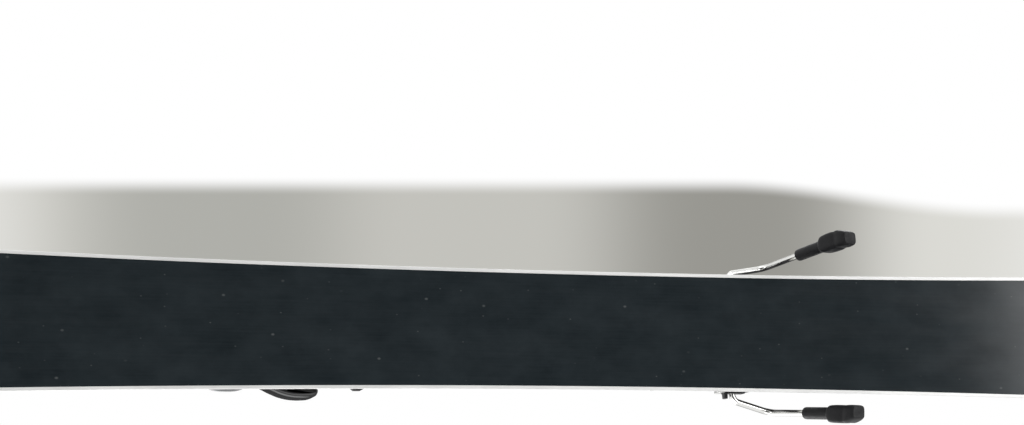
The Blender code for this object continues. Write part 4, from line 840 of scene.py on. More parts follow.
def running_base(name):
    """Sintered base: near black, with the stone grinding's fine lengthwise lines and pale specks."""
    made = Finish(name, (0.0120, 0.0172, 0.0200), 0.13, Specular_IOR_Level=0.38)
    clouds = made.spread(made.noise(26, 5, 1, 1.6, 0.65), 0.32, 0.68)
    grain = made.noise(900, 2, 0.025)
    colour = made.mix(clouds, (0.0078, 0.0122, 0.0149), (0.0172, 0.0234, 0.0272))
    colour = made.mix(made.times(made.spread(grain, 0.35, 0.75), 0.22), colour, (0.025, 0.031, 0.034))
    for density, size, share in ((46.0, 0.040, 0.62), (105.0, 0.050, 0.74)):
        cells = made.node("TexVoronoi", {"Vector": made.where(0.7), "Scale": density},
                          voronoi_dimensions="2D").outputs
        near = made.spread(cells["Distance"], size, size * 0.35)
        chosen = made.node("SeparateColor", {"Color": cells["Color"]}).outputs["Red"]
        speck = made.times(near, made.spread(chosen, share, share + 0.3))
        colour = made.mix(made.times(speck, 0.8), colour, (0.085, 0.092, 0.094))
    scratches = made.spread(made.noise(260, 1, 0.012), 0.62, 0.72)
    return made.done(colour, made.noise(60, 3, 0.2), 0.03, scratches, 0.012, 0.3,
                     Normal=made.bump(grain, 0.012, 0.4))


def moulded(name, colour, roughness, grain, depth, shine=0.5, glossy=False):
    """Moulded plastic: an even grain, faint flow marks, and edges rubbed a little paler.

    A glossy one shines through its coat, least where it is seen edge on.
    """
    made = Finish(name, colour, roughness, Specular_IOR_Level=shine)
    if glossy:
        facing = made.node("LayerWeight", {"Blend": 0.5}).outputs["Facing"]
        made.feed(Coat_Weight=made.spread(facing, 0.35, 0.75, 0.8, 0.06), Coat_Roughness=0.12)
    worn = made.spread(made.node("NewGeometry").outputs["Pointiness"], 0.56, 0.68, 0.0, 0.5)
    worn = made.times(worn, made.spread(made.noise(220), 0.4, 0.65))
    paler = tuple(min(c + 0.06, 1) for c in colour)
    shades = made.mix(worn, made.shades(made.noise(45), 0.10), paler)
    return made.done(shades, made.noise(120), 0.05, made.noise(grain, 2), depth, 0.6)


def scuffed_plastic(name):
    """Black moulded plastic that has rubbed on snow and ground: paler where it sticks out."""
    made = Finish(name, (0.010, 0.010, 0.011), 0.46, Specular_IOR_Level=0.15)
    worn = made.spread(made.node("NewGeometry").outputs["Pointiness"], 0.52, 0.66)
    rubbed = made.times(worn, made.spread(made.noise(330, 4), 0.42, 0.62))
    fine = made.noise(900, 2)
    colour = made.mix(made.times(made.spread(fine, 0.3, 0.7), 0.4), made.colour, (0.019, 0.019, 0.021))
    colour = made.mix(made.times(rubbed, 0.8), colour, (0.075, 0.076, 0.078))
    return made.done(colour, made.noise(260), 0.08, fine, 0.06, 0.6)


def glass_laminate(name):
    """Glass fibre in resin: crossed bundles."""
    made = Finish(name, (0.36, 0.35, 0.29), 0.5)
    weave = made.times(made.waves(130.0, "X", Distortion=0.8), made.waves(160.0, "Y", Distortion=0.8))
    colour = made.mix(weave, (0.27, 0.26, 0.21), (0.43, 0.42, 0.36))
    return made.done(colour, made.noise(200), 0.06, weave, 0.05, 0.5)


def wood_core(name):
    """Laminated core: glued strips of two woods with lengthwise grain."""
    made = Finish(name, (0.62, 0.44, 0.25), 0.62)
    grain = made.noise(160, 5, 0.06)
    strips = made.spread(made.waves(14.0, "Y", wave_profile="SAW"), 0.48, 0.52)
    wood = made.mix(strips, (0.66, 0.50, 0.30), (0.52, 0.34, 0.18))
    colour = made.mix(made.spread(grain, 0.35, 0.75), wood, (0.40, 0.26, 0.13))
    return made.done(colour, grain, 0.08, grain, 0.05, 0.4)


def topsheet_print(name):
    """White gloss sheet with plain charcoal ends, two fine lines and a light texture."""
    made = Finish(name, (0.78, 0.78, 0.77), 0.24, Coat_Weight=0.4, Coat_Roughness=0.1)
    place = made.parts(made.where())
    slanted = made.times(made.maths("ABSOLUTE", place["Y"]), 1.4)
    forward = made.maths("ADD", place["X"], slanted)
    backward = made.maths("SUBTRACT", place["X"], slanted)
    mottle = made.noise(60, 4)
    charcoal = made.mix(made.spread(mottle, 0.35, 0.65), (0.030, 0.032, 0.035), (0.042, 0.044, 0.047))
    colour = made.mix(made.spread(forward, 0.5595, 0.5605), made.shades(mottle, 0.02), charcoal)
    colour = made.mix(made.spread(backward, -0.5195, -0.5205), colour, charcoal)
    for line in (0.520, 0.535):
        near = made.maths("ABSOLUTE", made.maths("SUBTRACT", forward, line))
        colour = made.mix(made.spread(near, 0.0030, 0.0026), colour, charcoal)
    return made.done(colour, made.noise(140), 0.05, made.noise(700, 2), 0.015, 0.4)


MAKERS = {
    "running_base": running_base,
    "edge_steel": lambda name: brushed(name, (0.84, 0.84, 0.83), 0.40, 0.30, 0.03),
    "sidewall": lambda name: even(name, (0.80, 0.80, 0.785), 0.42, (0.03, 14), (0.07, 500, 2, 0.02),
                                  (0.03, 0.4, 500, 2, 0.02)),
    "laminate": glass_laminate,
    "core_wood": wood_core,
    "topsheet": topsheet_print,
    "black_plastic": lambda name: moulded(name, (0.015, 0.015, 0.016), 0.44, 1300, 0.04, shine=0.25),
    "gloss_black": lambda name: moulded(name, (0.014, 0.014, 0.015), 0.35, 260, 0.01, 0.0, glossy=True),
    "scuffed_plastic": scuffed_plastic,
    "grey_plastic": lambda name: grained(
        name, ((0.165, 0.17, 0.175), (0.145, 0.15, 0.155), (0.20, 0.205, 0.21)), 0.34, 0.35,
        (2600.0, "Blue"), (0.05, 150), (0.01, 0.3, 800), Coat_Weight=0.3, Coat_Roughness=0.12),
    "chrome_wire": lambda name: smooth(name, (0.80, 0.80, 0.78), 0.12, Specular_Tint=(0.14, 0.14, 0.14)),
    "plated_steel": lambda name: grained(
        name, ((0.50, 0.50, 0.49), (0.45, 0.45, 0.44), (0.56, 0.56, 0.55)), 0.32, 1.0,
        (420.0, "Green"), (0.07, 180), (0.01, 0.3, 1500)),
    "aluminium": lambda name: brushed(name, (0.55, 0.56, 0.57), 0.32, 1.0, 0.04),
    "spring_steel": lambda name: smooth(name, (0.20, 0.20, 0.21), 0.35),
    "glide_plastic": lambda name: moulded(name, (0.76, 0.76, 0.74), 0.30, 900, 0.02),
    "rubber": lambda name: moulded(name, (0.02, 0.02, 0.02), 0.75, 1600, 0.05),
    "clear_window": lambda name: even(name, (0.86, 0.88, 0.90), 0.08, (0.03, 120), (0.03, 300),
                                      (0.01, 0.2, 500), Transmission_Weight=0.85, IOR=1.45),
    "orange_marker": lambda name: moulded(name, (0.78, 0.21, 0.03), 0.40, 900, 0.02),
}
finishes = {}


def finish(slot):
    if slot not in finishes:
        finishes[slot] = MAKERS[slot](slot)
    return finishes[slot]


# Ski outline and heights

def sidecut(x):
    return WAIST_WIDTH / 2 + (x - WAIST_X) ** 2 / (2 * SIDECUT_RADIUS)


def ease(share):
    share = min(max(share, 0.0), 1.0)
    return share * share * (3 - 2 * share)


def base_height(x):
    """Height of the running surface: flat under the boot, cambered, and turned up at both ends."""
    contact, _, radius, _, _ = FRONT if x > 0 else BACK
    if abs(x) > abs(contact):
        return -CAMBER + (x - contact) ** 2 / (2 * radius)
    return -CAMBER * ease((abs(x) - FLAT_X) / (abs(contact) - FLAT_X))


def thickness(x):
    """Base to topsheet; the top stays flat under the binding."""
    contact, length, _, thick, last = FRONT if x > 0 else BACK
    if abs(x) <= PLATE_ZONE:
        return THICK_MIDDLE - base_height(x)
    if abs(x) > abs(contact):
        return thick + (last - thick) * (x - contact) / length
    start = math.copysign(PLATE_ZONE, x)
    full = THICK_MIDDLE - base_height(start)
    return full + (thick - full) * ease((x - start) / (contact - start))


def shoulder(x, inset):
    """How far the top drops towards the side, clear of the binding."""
    away, length = SHOULDER_START
    grown = ease((abs(x) - PLATE_ZONE - away) / length)
    return SHOULDER_DEPTH * grown * (1 - ease(inset / SHOULDER_REACH))


def tapered_end(contact, length, powers):
    """Half outline of a rounded end, from its contact point outwards."""
    along_power, across_power = powers
    wide = sidecut(contact + length)
    last = math.acos((END_HALF / wide) ** (1 / across_power))
    points = []
    for i in range(END_STEPS + 1):
        angle = last * i / END_STEPS
        x = contact + length * math.sin(angle) ** along_power
        points.append((x, sidecut(x) * math.cos(angle) ** across_power))
    return points


def ski_outline():
    """Half outline from the tail's end to the tip's end, on the left side."""
    tail = tapered_end(HEEL_CONTACT_X, -TAIL_LENGTH, TAIL_POWERS)
    tip = tapered_end(SHOVEL_X, SHOVEL_LENGTH, SHOVEL_POWERS)
    count = round((SHOVEL_X - HEEL_CONTACT_X) / SIDE_STEP)
    stations = [HEEL_CONTACT_X + (SHOVEL_X - HEEL_CONTACT_X) * i / count for i in range(1, count)]
    return list(reversed(tail)) + [(x, sidecut(x)) for x in stations] + tip


def drawn_in(outline, inset):
    """The half outline moved inwards by inset, square to itself."""
    (first_x, first_y), (last_x, last_y) = outline[0], outline[-1]
    closed = [(first_x, -first_y)] + outline + [(last_x, -last_y)]
    moved = [moved_square(*three, inset, -1) for three in zip(closed, closed[1:], closed[2:])]
    return [(x, max(y, END_HALF / 3)) for x, y in moved]


def at(height, *insets):
    """Points of a profile at one height above the running surface."""
    def height_there(x, inset):
        return height

    return [(inset, height_there) for inset in insets]


def below_top(depth, *insets):
    """Points of a profile at one depth below the top."""
    def height_there(x, inset):
        return thickness(x) - depth - shoulder(x, inset)

    return [(inset, height_there) for inset in insets]


def side_rows(profile, x_range):
    """For each station, the points of a profile of insets and heights, on the left side."""
    outline = ski_outline()
    rows = [drawn_in(outline, inset) for inset, _ in profile]
    stations = []
    for i, (x, _) in enumerate(outline):
        if x_range[0] <= x <= x_range[1]:
            stations.append([(row[i][0], row[i][1], base_height(row[i][0]) + height(row[i][0], inset))
                             for row, (inset, height) in zip(rows, profile)])
    return stations


def layer(profile, x_range=(-math.inf, math.inf)):
    """A layer from side to side."""
    return loft([side + mirrored(reversed(side), -1) for side in side_rows(profile, x_range)])


def strip(profile, side, x_range, close_at_tip=False):
    """A strip along one side; it may meet its twin at the tip."""
    sections = [mirrored(section, side) for section in side_rows(profile, x_range)]
    if close_at_tip:
        sections.append([(x, TOUCH * side, z) for x, y, z in sections[-1]])
    return loft(sections)


# Ski pieces

def build_base_and_edges():
    outer = EDGE_WIDTH + TOUCH
    base = at(BASE_THICK, outer) + at(0.12, outer) + at(0, outer + 0.12)
    show("running_surface", layer(base, AHEAD_OF_GUARD), "base_sheet")
    bevel = EDGE_CHAMFER
    edge = (at(0, bevel) + at(bevel * 0.3, bevel * 0.3) + at(bevel, 0) + at(EDGE_TOP - bevel, 0) +
            at(EDGE_TOP, bevel, FLANGE_INSET) + at(FLANGE_LOW, FLANGE_INSET, EDGE_WIDTH) +
            at(0.1, EDGE_WIDTH) + at(0, EDGE_WIDTH - 0.1))
    for name, side in SIDES.items():
        show("steel_edge_" + name, strip(edge, side, AHEAD_OF_GUARD, close_at_tip=True), "edge_" + name)
    guard = at(0, 0.3) + at(0.3, 0) + at(EDGE_TOP - 0.3, 0) + at(EDGE_TOP, 0.3)
    show("tail_guard", layer(guard, (-math.inf, PROTECTOR_X)), "tail_protector")


def build_layers():
    beside = FLANGE_INSET + TOUCH
    laminate = (at(BASE_THICK + TOUCH, beside) + at(EDGE_TOP + TOUCH, beside, LAMINATE_INSET) +
                at(LAMINATE_TOP, LAMINATE_INSET))
    show("lower_glass_layer", layer(laminate, AHEAD_OF_GUARD), "lower_laminate")
    wall_low = LAMINATE_TOP + TOUCH
    spacer = (at(wall_low, LAMINATE_INSET) + at(wall_low + 0.4, LAMINATE_INSET) +
              below_top(CORE_COVER + 0.3, TOP_INSET - 0.3) + below_top(CORE_COVER, TOP_INSET))
    wall = spacer + below_top(CORE_COVER, SIDEWALL_INNER) + at(wall_low, SIDEWALL_INNER)
    for name, side in SIDES.items():
        show("side_wall_" + name, strip(wall, side, (HEEL_CONTACT_X, SHOVEL_X)), "sidewall_" + name)
    show("tip_insert", layer(spacer, (SHOVEL_X, math.inf)), "tip_spacer")
    show("tail_insert", layer(spacer, (-math.inf, HEEL_CONTACT_X)), "tail_spacer")
    glass = below_top(CORE_COVER - TOUCH, TOP_INSET) + below_top(SHEET_THICK + TOUCH, TOP_INSET)
    show("upper_glass_layer", layer(glass), "upper_laminate")
    sheet = (below_top(SHEET_THICK, SHOULDER_REACH, 4.2, 2.8, TOP_INSET) + below_top(0.35, TOP_INSET) +
             below_top(0.12, TOP_INSET + 0.12) +
             below_top(0, TOP_INSET + 0.4, 2.8, 3.5, 4.2, 5.2, SHOULDER_REACH))
    show("top_sheet", layer(sheet), "topsheet")


# Fasteners, pins and springs

def cross_recess(face, direction):
    """Cutter for a cross recess in a screw's head."""
    side, other = frame_along(direction)
    along = Vector(direction).normalized()
    reach, half = RECESS
    quarter = [(reach, half), (half, half), (half, reach)]
    shape = []
    for _ in range(4):
        shape += quarter
        quarter = [(-v, u) for u, v in quarter]
    return loft([ring_at(Vector(face) + along * distance, side * share, other * share, shape)
                 for distance, share in RECESS_LEVELS])


def build_mounting_screws():
    for node in frame["nodes"]:
        if node.startswith(("toe_screw_", "heel_screw_")):
            low, high = node_box(node)
            face = ((low.x + high.x) / 2, (low.y + high.y) / 2, high.z)
            length = high.z - low.z
            profile = [(0, SCREW_RIM - 0.5), (0.15, SCREW_RIM - 0.15), (0.5, SCREW_RIM), (1.2, SCREW_RIM),
                       (3, SCREW_SHANK), (length - 2, SCREW_SHANK), (length, 0.8)]
            screw = solid(node + "_head", turned(face, (0, 0, -1), profile))
            cut(screw, cross_recess(face, (0, 0, 1)))
            settle(screw, node)


def build_pins():
    for name, side in SIDES.items():
        node = "toe_wing_pin_" + name
        low, high = node_box(node)
        x, y = WING_PIN[0], WING_PIN[1] * side
        show(node + "_turned", pin((x, y, low.z), (x, y, high.z), WING_PIN_RADIUS), node)
    for node, (x, z), radius in (("heel_axle", AXLE, AXLE_RADIUS),
                                 ("heel_lever_pin", LEVER_PIN, LEVER_PIN_RADIUS),
                                 ("brake_pedal_pin", PEDAL_PIN, PEDAL_PIN_RADIUS)):
        half = node_box(node)[1].y
        show(node + "_turned", pin((x, -half, z), (x, half, z), radius), node)


def build_springs():
    toe = show("toe_coil", coil(*TOE_SPRING), "toe_spring", flatten=False)
    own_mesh(toe)
    heel = show("heel_coil", coil(*HEEL_SPRING), "heel_spring", flatten=False)
    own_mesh(heel)
    pressure = show("pressure_coil", coil(*PRESSURE_SPRING), "forward_pressure_spring", flatten=False)
    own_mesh(pressure)
    show("brake_coil", coil(*BRAKE_SPRING), "brake_spring", flatten=False)


def build_release(end):
    """A release spring's nut, and its screw with a thread, a head and a cross recess."""
    z, nut_x, nut, thread_x, crest, root, head_x, head, face_x, way = RELEASES[end]
    ring = solid(end + "_nut_ring", turned((nut_x, 0, z), (1, 0, 0), nut))
    cut(ring, rod((nut_x - PAST, 0, z), (nut_x + 5, 0, z), crest + PLAY))
    settle(ring, end + "_spring_nut")
    screw = solid(end + "_release_bolt", threaded(thread_x, z, crest, root, THREAD_PITCH, -1))
    join(screw, turned((head_x, 0, z), (1, 0, 0), head))
    cut(screw, cross_recess((face_x, 0, z), (way, 0, 0)))
    settle(screw, end + "_release_screw")


def build_scale(end, x, z, first, pace, body):
    """A clear window over a release setting, and its marks."""
    pane = rectangle(x, (-WINDOW_HALF, WINDOW_HALF))
    show(end + "_window", soft_prism(pane, *z, 0.4, fillet=1), end + "_scale_window")
    mark_z = [z[1] + above for above in MARK_Z]
    starts = [first + pace * i for i in range(MARKS)]
    marks = [box((start, start + MARK_WIDTH), (-MARK_HALF, MARK_HALF), mark_z) for start in starts]
    show(end + "_scale_marks", merge(*marks), body=body, slot="glide_plastic")


def window_cutter(x, z):
    half = WINDOW_HALF + PLAY
    return box((x[0] - PLAY, x[1] + PLAY), (-half, half), z)


# Toe piece

def housing_section(height, width_share, length_share):
    """One level of the toe housing, a rounded oblong."""
    level = oblong(HOUSING_HALF_LENGTH * length_share, HOUSING_HALF_WIDTH * width_share,
                   HOUSING_FULLNESS, 80)
    return [(HOUSING_X + x, y, height) for x, y in level]


def build_toe_housing():
    low, high = HOUSING_Z
    seam, spread, depth = HOUSING_SEAM
    sections = []
    for share, wide, long in through(HOUSING_LEVELS, 7):
        pinch = 1 - depth * math.exp(-((share - seam) / spread) ** 2)
        sections.append(housing_section(low + (high - low) * share, wide * pinch, long * pinch))
    housing = solid("toe_housing_shell", loft(sections))
    lip = rectangle(*HOUSING_LIP)
    join(housing, soft_prism(lip, *HOUSING_LIP_Z, 1.2, fillet=3))
    pin_x, pin_y = WING_PIN
    cut(housing, both_sides(*WING_POCKET, (WING_LOW - PLAY, WING_HIGH + PLAY)), box(*PISTON_SPACE),
        turned((pin_x, 0, TOE_BORE_Z), (1, 0, 0), TOE_BORE),
        window_cutter(TOE_WINDOW_X, TOE_WINDOW_CUT))
    for side in SIDES.values():
        y = pin_y * side
        cut(housing, rod((pin_x, y, low - PAST), (pin_x, y, high), WING_PIN_RADIUS + PLAY))
    for shift in GRIP_SHIFTS:
        groove = filleted([(x + shift, y) for x, y in rectangle(*GRIP_GROOVE)], 0.4)
        for side in SIDES.values():
            cut(housing, prism([(x, y * side) for x, y in groove], *GRIP_GROOVE_Z))
    settle(housing, "toe_housing")
    build_scale("toe", TOE_WINDOW_X, TOE_WINDOW_Z, *TOE_MARKS, "ski")


def build_toe_wings():
    for name, side in SIDES.items():
        def flipped(outline):
            return [(x, y * side) for x, y in outline]

        shell = soft_prism(flipped(WING_ARM), WING_LOW, WING_HIGH, 1.3, fillet=30, steps=4,
                           taper=WING_ARM_TAPER)
        wing = solid("toe_wing_shell_" + name, shell)
        centre = flipped([WING_PIN])[0]
        join(wing, soft_prism(circle(WING_BOSS_RADIUS, 48, centre), WING_LOW, WING_HIGH, 1),
             soft_prism(flipped(WING_LIP), WING_HIGH - 3, WING_LIP_TOP, 1.2, fillet=6, steps=4,
                        taper=WING_LIP_TAPER),
             soft_prism(flipped(WING_FINGER), *WING_FINGER_Z, 0.4, fillet=1))
        cut(wing, prism(filleted(flipped(WING_HOLLOW), 3), WING_LOW - PAST, WING_HOLLOW_TOP),
            rod((*centre, WING_LOW - PAST), (*centre, WING_HIGH + 6), WING_PIN_RADIUS + PLAY))
        settle(wing, "toe_wing_" + name)


def build_toe_release():
    settle(rounded_copy("toe_piston", PISTON_ROUNDING), "toe_piston")
    build_release("toe")


def build_gliding_plate():
    settle(rounded_copy("afd_frame", SLIDER_FRAME_ROUNDING), "afd_frame")
    low, high = node_box("afd_slider")
    plate = rectangle((low.x, high.x), (low.y, high.y))
    slider = solid("afd_slide_plate", soft_prism(plate, SLIDER_LOW, high.z, 0.8, fillet=2.5))
    join(slider, box(SLIDER_FOOT_X, (low.y + 0.4, high.y - 0.4), (low.z, SLIDER_LOW + 0.6)))
    groove_x, places = SLIDER_GROOVES
    grooves = [box(groove_x, (y - 0.6, y + 0.6), (high.z - 0.35, high.z + PAST)) for y in places]
    cut(slider, both_sides(*SLIDER_POCKET, (low.z - PAST, low.z + 3.2)), merge(*grooves))
    settle(slider, "afd_slider")
    for name, side in SIDES.items():
        node = "afd_cushion_" + name
        low, high = node_box(node)
        block = rectangle((low.x, high.x), (low.y, high.y))
        cushion = show(node + "_block", soft_prism(block, low.z, high.z, 0.7, fillet=1.2), node)
        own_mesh(cushion)


# Heel piece

def build_heel_jaw():
    jaw = solid("heel_jaw_shell", soft_prism(JAW_BODY, -JAW_HALF, JAW_HALF, 2.5, "y", fillet=7, steps=5))
    join(jaw, soft_prism(JAW_CUP, -CUP_HALF, CUP_HALF, 0.8, "y", fillet=2))
    boot = circle(CUP_RADIUS, 96, (BOOT_HEEL_X + CUP_RADIUS, 0))
    hub = LEVER_HUB_HALF + PLAY
    cut(jaw, prism(boot, *CUP_Z), turned((HEEL_BORE_X, 0, HEEL_BORE_Z), (1, 0, 0), HEEL_BORE),
        cross_rod(AXLE, THROUGH_JAW, AXLE_RADIUS + PLAY), box(*CAM_SPACE),
        window_cutter(HEEL_WINDOW_X, HEEL_WINDOW_CUT),
        box(LEVER_SPACE_X, (-hub, hub), (LEVER_PIN[1] - LEVER_HUB_RADIUS - PLAY, LEVER_SPACE_TOP)),
        cross_rod(LEVER_PIN, THROUGH_JAW, LEVER_PIN_RADIUS + PLAY))
    panel = filleted(JAW_PANEL, 4)
    for side in SIDES.values():
        y = sorted((side * (JAW_HALF - JAW_PANEL_DEPTH), side * (JAW_HALF + PAST)))
        cut(jaw, prism(panel, *y, "y"))
    settle(jaw, "heel_jaw")
    build_scale("heel", HEEL_WINDOW_X, HEEL_WINDOW_Z, *HEEL_MARKS, "heel_jaw")


def build_heel_release():
    piston = turned((HEEL_PISTON_X, 0, HEEL_BORE_Z), (1, 0, 0), HEEL_PISTON)
    show("heel_cam_plunger", piston, "heel_cam_piston")
    build_release("heel")


def build_length_screw():
    start, end = LENGTH_SCREW_X
    z = LENGTH_SCREW_Z
    worm = solid("length_worm", threaded((start + 4.4, end), z, 2.8, 1.9, LENGTH_SCREW_PITCH, 1, 24))
    join(worm, turned((start, 0, z), (1, 0, 0), LENGTH_HEAD))
    depth, reach, half = LENGTH_SLOT
    cut(worm, box((start - PAST, start + depth), (-reach, reach), (z - half, z + half)))
    settle(worm, "length_screw")


def build_heel_lever():
    blade = soft_prism(LEVER_BLADE, -LEVER_HALF, LEVER_HALF, 1.1, "y", fillet=6, steps=4)
    lever = solid("heel_lever_shell", blade)
    hub = circle(LEVER_HUB_RADIUS, ROUND, LEVER_PIN)
    join(lever, prism(LEVER_NECK, -LEVER_HUB_HALF, LEVER_HUB_HALF, "y"),
         soft_prism(hub, -LEVER_HUB_HALF, LEVER_HUB_HALF, 0.4, "y"))
    cut(lever, cross_rod(LEVER_PIN, LEVER_HALF, LEVER_PIN_RADIUS + PLAY),
        soft_prism(LEVER_DISH, -LEVER_DISH_HALF, LEVER_DISH_HALF, 2, "y", fillet=3, steps=4))
    for x in LEVER_RIB_X:
        cut(lever, cross_rod((x, LEVER_RIB_Z), LEVER_HALF - 4, LEVER_RIB_RADIUS, 16))
    settle(lever, "heel_lever")


# Brake

def brake_axis_at(y):
    """The point of the left arm's pivot axis this far from the ski's middle."""
    pivot = Vector(BRAKE_PIVOT)
    axis = Vector(BRAKE_AXIS)
    return pivot + axis * ((y - pivot.y) / axis.y)


def arm_corners():
    """Corner points of the left arm's wire, from its inner crank to inside its foot."""
    inner = brake_axis_at(CRANK_Y)
    angle = math.radians(CRANK_ANGLE)
    crank = inner + Vector((math.cos(angle), 0, math.sin(angle))) * CRANK_RADIUS
    crank_end = crank + brake_axis_at(CRANK_INNER_Y) - inner
    elbow = Vector(ARM_ELBOW)
    down = (Vector(FOOT_END) - elbow).normalized()
    wire_end = Vector(FOOT_END) - down * (FOOT_LENGTH - WIRE_IN_FOOT)
    return [crank_end, crank, inner, brake_axis_at(ARM_CORNER_Y), elbow, wire_end]


def foot_section(distance, inboard, outboard, front, back, fullness):
    """One section of the left brake foot, square to the arm; outboard is away from the ski."""
    along = (Vector(FOOT_END) - Vector(ARM_ELBOW)).normalized()
    rearward, lateral = frame_along(along, (0, 1, 0))
    lateral *= math.copysign(1, lateral.y)
    rearward *= -math.copysign(1, rearward.x)
    centre = Vector(FOOT_END) + along * (distance - FOOT_LENGTH)
    return ring_at(centre, lateral, rearward, oblong((inboard, outboard), (front, back), fullness, 56))


def build_brake():
    path = rounded_path(arm_corners(), ARM_BEND_RADIUS)
    elbow, wire_end = arm_corners()[-2:]
    down = (wire_end - elbow).normalized()
    bore = (Vector(FOOT_END) - down * (FOOT_LENGTH + 2), wire_end + down * PLAY)
    sections = [foot_section(*level) for level in through(FOOT_LEVELS, 3)]
    for name, side in SIDES.items():
        wire = tube(mirrored(path, side), WIRE_RADIUS, 32)
        show("brake_wire_" + name, wire, "brake_arm_" + name, sharp=60, flatten=False)
        foot = solid("brake_foot_grip_" + name, loft([mirrored(section, side) for section in sections]))
        cut(foot, rod(*mirrored(bore, side), WIRE_RADIUS + PLAY / 2, 24))
        settle(foot, "brake_foot_" + name, look="scuffed_plastic", sharp=50)


def tipped(profile):
    """A profile drawn with the pedal flat, turned to its raised rest place."""
    pin_x, pin_z = PEDAL_PIN
    tilt = math.radians(PEDAL_TILT)
    return [(pin_x - behind * math.cos(tilt) - above * math.sin(tilt),
             pin_z + behind * math.sin(tilt) + above * math.cos(tilt)) for behind, above in profile]


def build_brake_pedal():
    plate = soft_prism(tipped(PEDAL_PLATE), -PEDAL_HALF, PEDAL_HALF, 0.7, "y", fillet=1.6)
    pedal = solid("brake_pedal_plate", plate)
    inner, outer = PEDAL_KNUCKLE_Y
    knuckle = tipped(circle(PEDAL_KNUCKLE_RADIUS, 32))
    join(pedal, prism(knuckle, inner, outer, "y"), prism(knuckle, -outer, -inner, "y"))
    cut(pedal, prism(tipped(PEDAL_SPRING_ROOM), -PEDAL_SPRING_ROOM_HALF, PEDAL_SPRING_ROOM_HALF, "y"),
        cross_rod(PEDAL_PIN, PEDAL_HALF + 2, PEDAL_PIN_RADIUS + PLAY))
    first, pace, width = PEDAL_RIB
    for i in range(PEDAL_RIBS):
        behind = first + pace * i
        rib = tipped(rectangle((behind, behind + width), PEDAL_RIB_Z))
        cut(pedal, prism(rib, -PEDAL_HALF + 5, PEDAL_HALF - 5, "y"))
    settle(pedal, "brake_pedal")


def build_rounded_pieces():
    """Pieces whose solids have their true shape and only need their corners rounded."""
    for node, width in ROUNDED.items():
        settle(rounded_copy(node, width), node)


def finish_kept_nodes():
    """The CAD nodes that still show get their slot's finish."""
    for node, piece in frame["nodes"].items():
        piece.data.materials.clear()
        piece.data.materials.append(finish(SLOT_OF[node]))


# Studio and camera

def camera_frame():
    """The camera's place in the ski's frame, from the fit."""
    about_x, about_y, about_z = CAMERA_TURNS
    turn = (Matrix.Rotation(about_z, 4, "Z") @ Matrix.Rotation(about_y, 4, "Y") @
            Matrix.Rotation(about_x, 4, "X") @ Matrix(CAMERA_START).to_4x4())
    return (Matrix.Translation(Vector(CAMERA_SHIFT) * MM) @ turn).inverted()


def add_camera():
    camera = shown(bpy.data.objects.new("camera", bpy.data.cameras.new("camera")))
    camera.data.sensor_width = SENSOR_WIDTH
    camera.data.lens = FOCAL_PIXELS / PICTURE_WIDTH * SENSOR_WIDTH
    camera.data.clip_start = 0.01
    camera.data.clip_end = 100
    camera.matrix_world = camera_frame()
    bpy.context.scene.camera = camera


def add_lamps():
    for name, (place, target, size, power) in LAMPS.items():
        lamp = shown(bpy.data.objects.new(name, bpy.data.lights.new(name, "AREA")))
        lamp.data.shape = "RECTANGLE"
        lamp.data.size, lamp.data.size_y = size
        lamp.data.energy = power
        lamp.rotation_mode = "QUATERNION"
        lamp.rotation_quaternion = (Vector(target) - Vector(place)).to_track_quat("-Z", "Y")
        lamp.location = place


def add_floor():
    """A pale floor under the feet, fading to white far out; it can't be seen from below."""
    corners = rectangle((-FLOOR_REACH, FLOOR_REACH), (-FLOOR_REACH, FLOOR_REACH))
    mesh = bpy.data.meshes.new("floor")
    mesh.from_pydata([(x, y, cad_low.z - FLOOR_BELOW) for x, y in corners], [], [(0, 1, 2, 3)])
    floor = shown(bpy.data.objects.new("floor", mesh))
    made = Finish("floor", (0.93, 0.93, 0.92), 0.9)
    away = made.node("VectorMath", {0: made.where()}, operation="LENGTH").outputs["Value"]
    white = made.node("Emission", {"Strength": 1.0}).outputs[0]
    far = made.node("MixShader", {0: made.spread(away, *FLOOR_FADE), 1: made.shader.outputs[0], 2: white})
    below = made.node("NewGeometry").outputs["Backfacing"]
    clear = made.node("BsdfTransparent").outputs[0]
    unseen = made.node("MixShader", {0: below, 1: far.outputs[0], 2: clear})
    made.lay(unseen.outputs[0], made.tree.nodes["Material Output"].inputs["Surface"])
    mesh.materials.append(made.material)
    floor.visible_shadow = False
    floor.visible_glossy = False


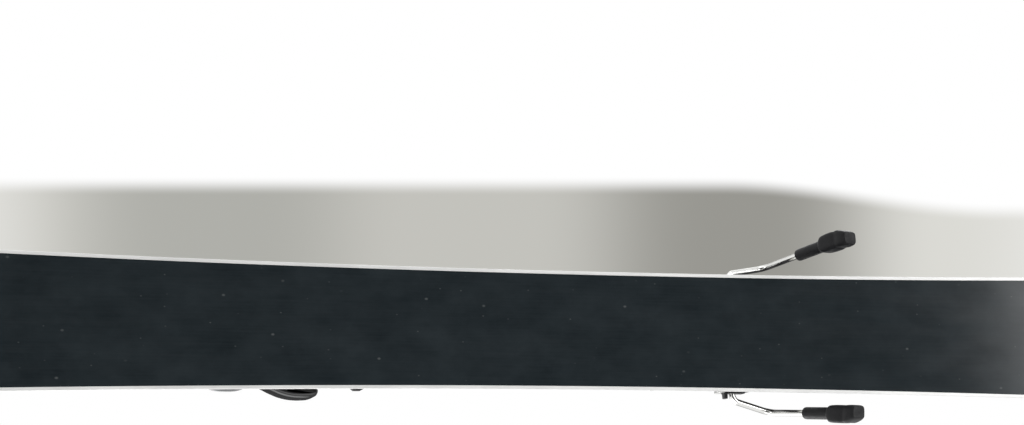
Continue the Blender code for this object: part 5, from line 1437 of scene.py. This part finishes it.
def add_world():
    """White to the camera, to metal and to glass, with a painted shadow, a soft grey band, behind the ski;
    else plain soft light.

    What faces straight down sees a darker room, so that the running surface stays black.
    """
    world = bpy.data.worlds.new("studio")
    bpy.context.scene.world = world
    world.use_nodes = True
    world.node_tree.nodes.clear()
    made = Nodes(world.node_tree, "SMOOTHSTEP")
    direction = made.node("TexCoord").outputs["Generated"]
    turn = camera_frame().to_3x3()

    def part_along(axis):
        inputs = {0: direction, 1: turn @ Vector(axis)}
        return made.node("VectorMath", inputs, operation="DOT_PRODUCT").outputs["Value"]

    # Painted shadow: a grey band painted into the background behind the ski, darker and paler in places along
    # it
    ahead = part_along((0, 0, -1))
    slope = made.maths("DIVIDE", part_along((0, 1, 0)), ahead)
    sideways = made.maths("DIVIDE", part_along((1, 0, 0)), ahead)
    lower = made.maths("ADD", slope, made.spread(sideways, *GREY_RIGHT, 0.0, GREY_LOWER))
    shadow_band = made.times(made.spread(lower, *GREY_ABOVE), made.spread(slope, *GREY_BELOW))
    painted_shadow = made.times(shadow_band, made.spread(ahead, *GREY_AHEAD))
    wave = made.maths("COSINE", made.times(made.maths("SUBTRACT", sideways, GREY_DARKEST), GREY_PACE))
    past = made.maths("ABSOLUTE", made.maths("SUBTRACT", sideways, GREY_MIDDLE))
    pale = made.mix(made.spread(past, *GREY_PALE_X), *GREY_PALE)
    dark = made.mix(made.spread(sideways, *GREY_DARK_X), *GREY_DARK)
    tone = made.mix(made.spread(wave, -0.8, 1), pale, dark)
    height = made.parts(direction)["Z"]
    seen = made.node("Background", {"Color": made.mix(painted_shadow, (1, 1, 1), tone),
                                    "Strength": made.spread(height, *ROOM_BELOW)})
    soft = made.node("Background", {"Color": (1, 1, 1), "Strength": made.spread(height, *SOFT_LIGHT)})
    path = made.node("LightPath").outputs
    sees = made.maths("MAXIMUM", path["Is Camera Ray"], path["Is Glossy Ray"])
    sees = made.maths("MAXIMUM", sees, path["Is Transmission Ray"])
    final = made.node("MixShader", {0: sees, 1: soft.outputs[0], 2: seen.outputs[0]})
    made.lay(final.outputs[0], made.node("OutputWorld").inputs["Surface"])


for step in (build_base_and_edges, build_layers, build_mounting_screws, build_pins, build_springs,
             build_toe_housing, build_toe_wings, build_toe_release, build_gliding_plate, build_heel_jaw,
             build_heel_release, build_length_screw, build_heel_lever, build_brake, build_brake_pedal,
             build_rounded_pieces, finish_kept_nodes, add_camera, add_world, add_lamps, add_floor):
    step()
bpy.context.scene.view_settings.view_transform = "Standard"
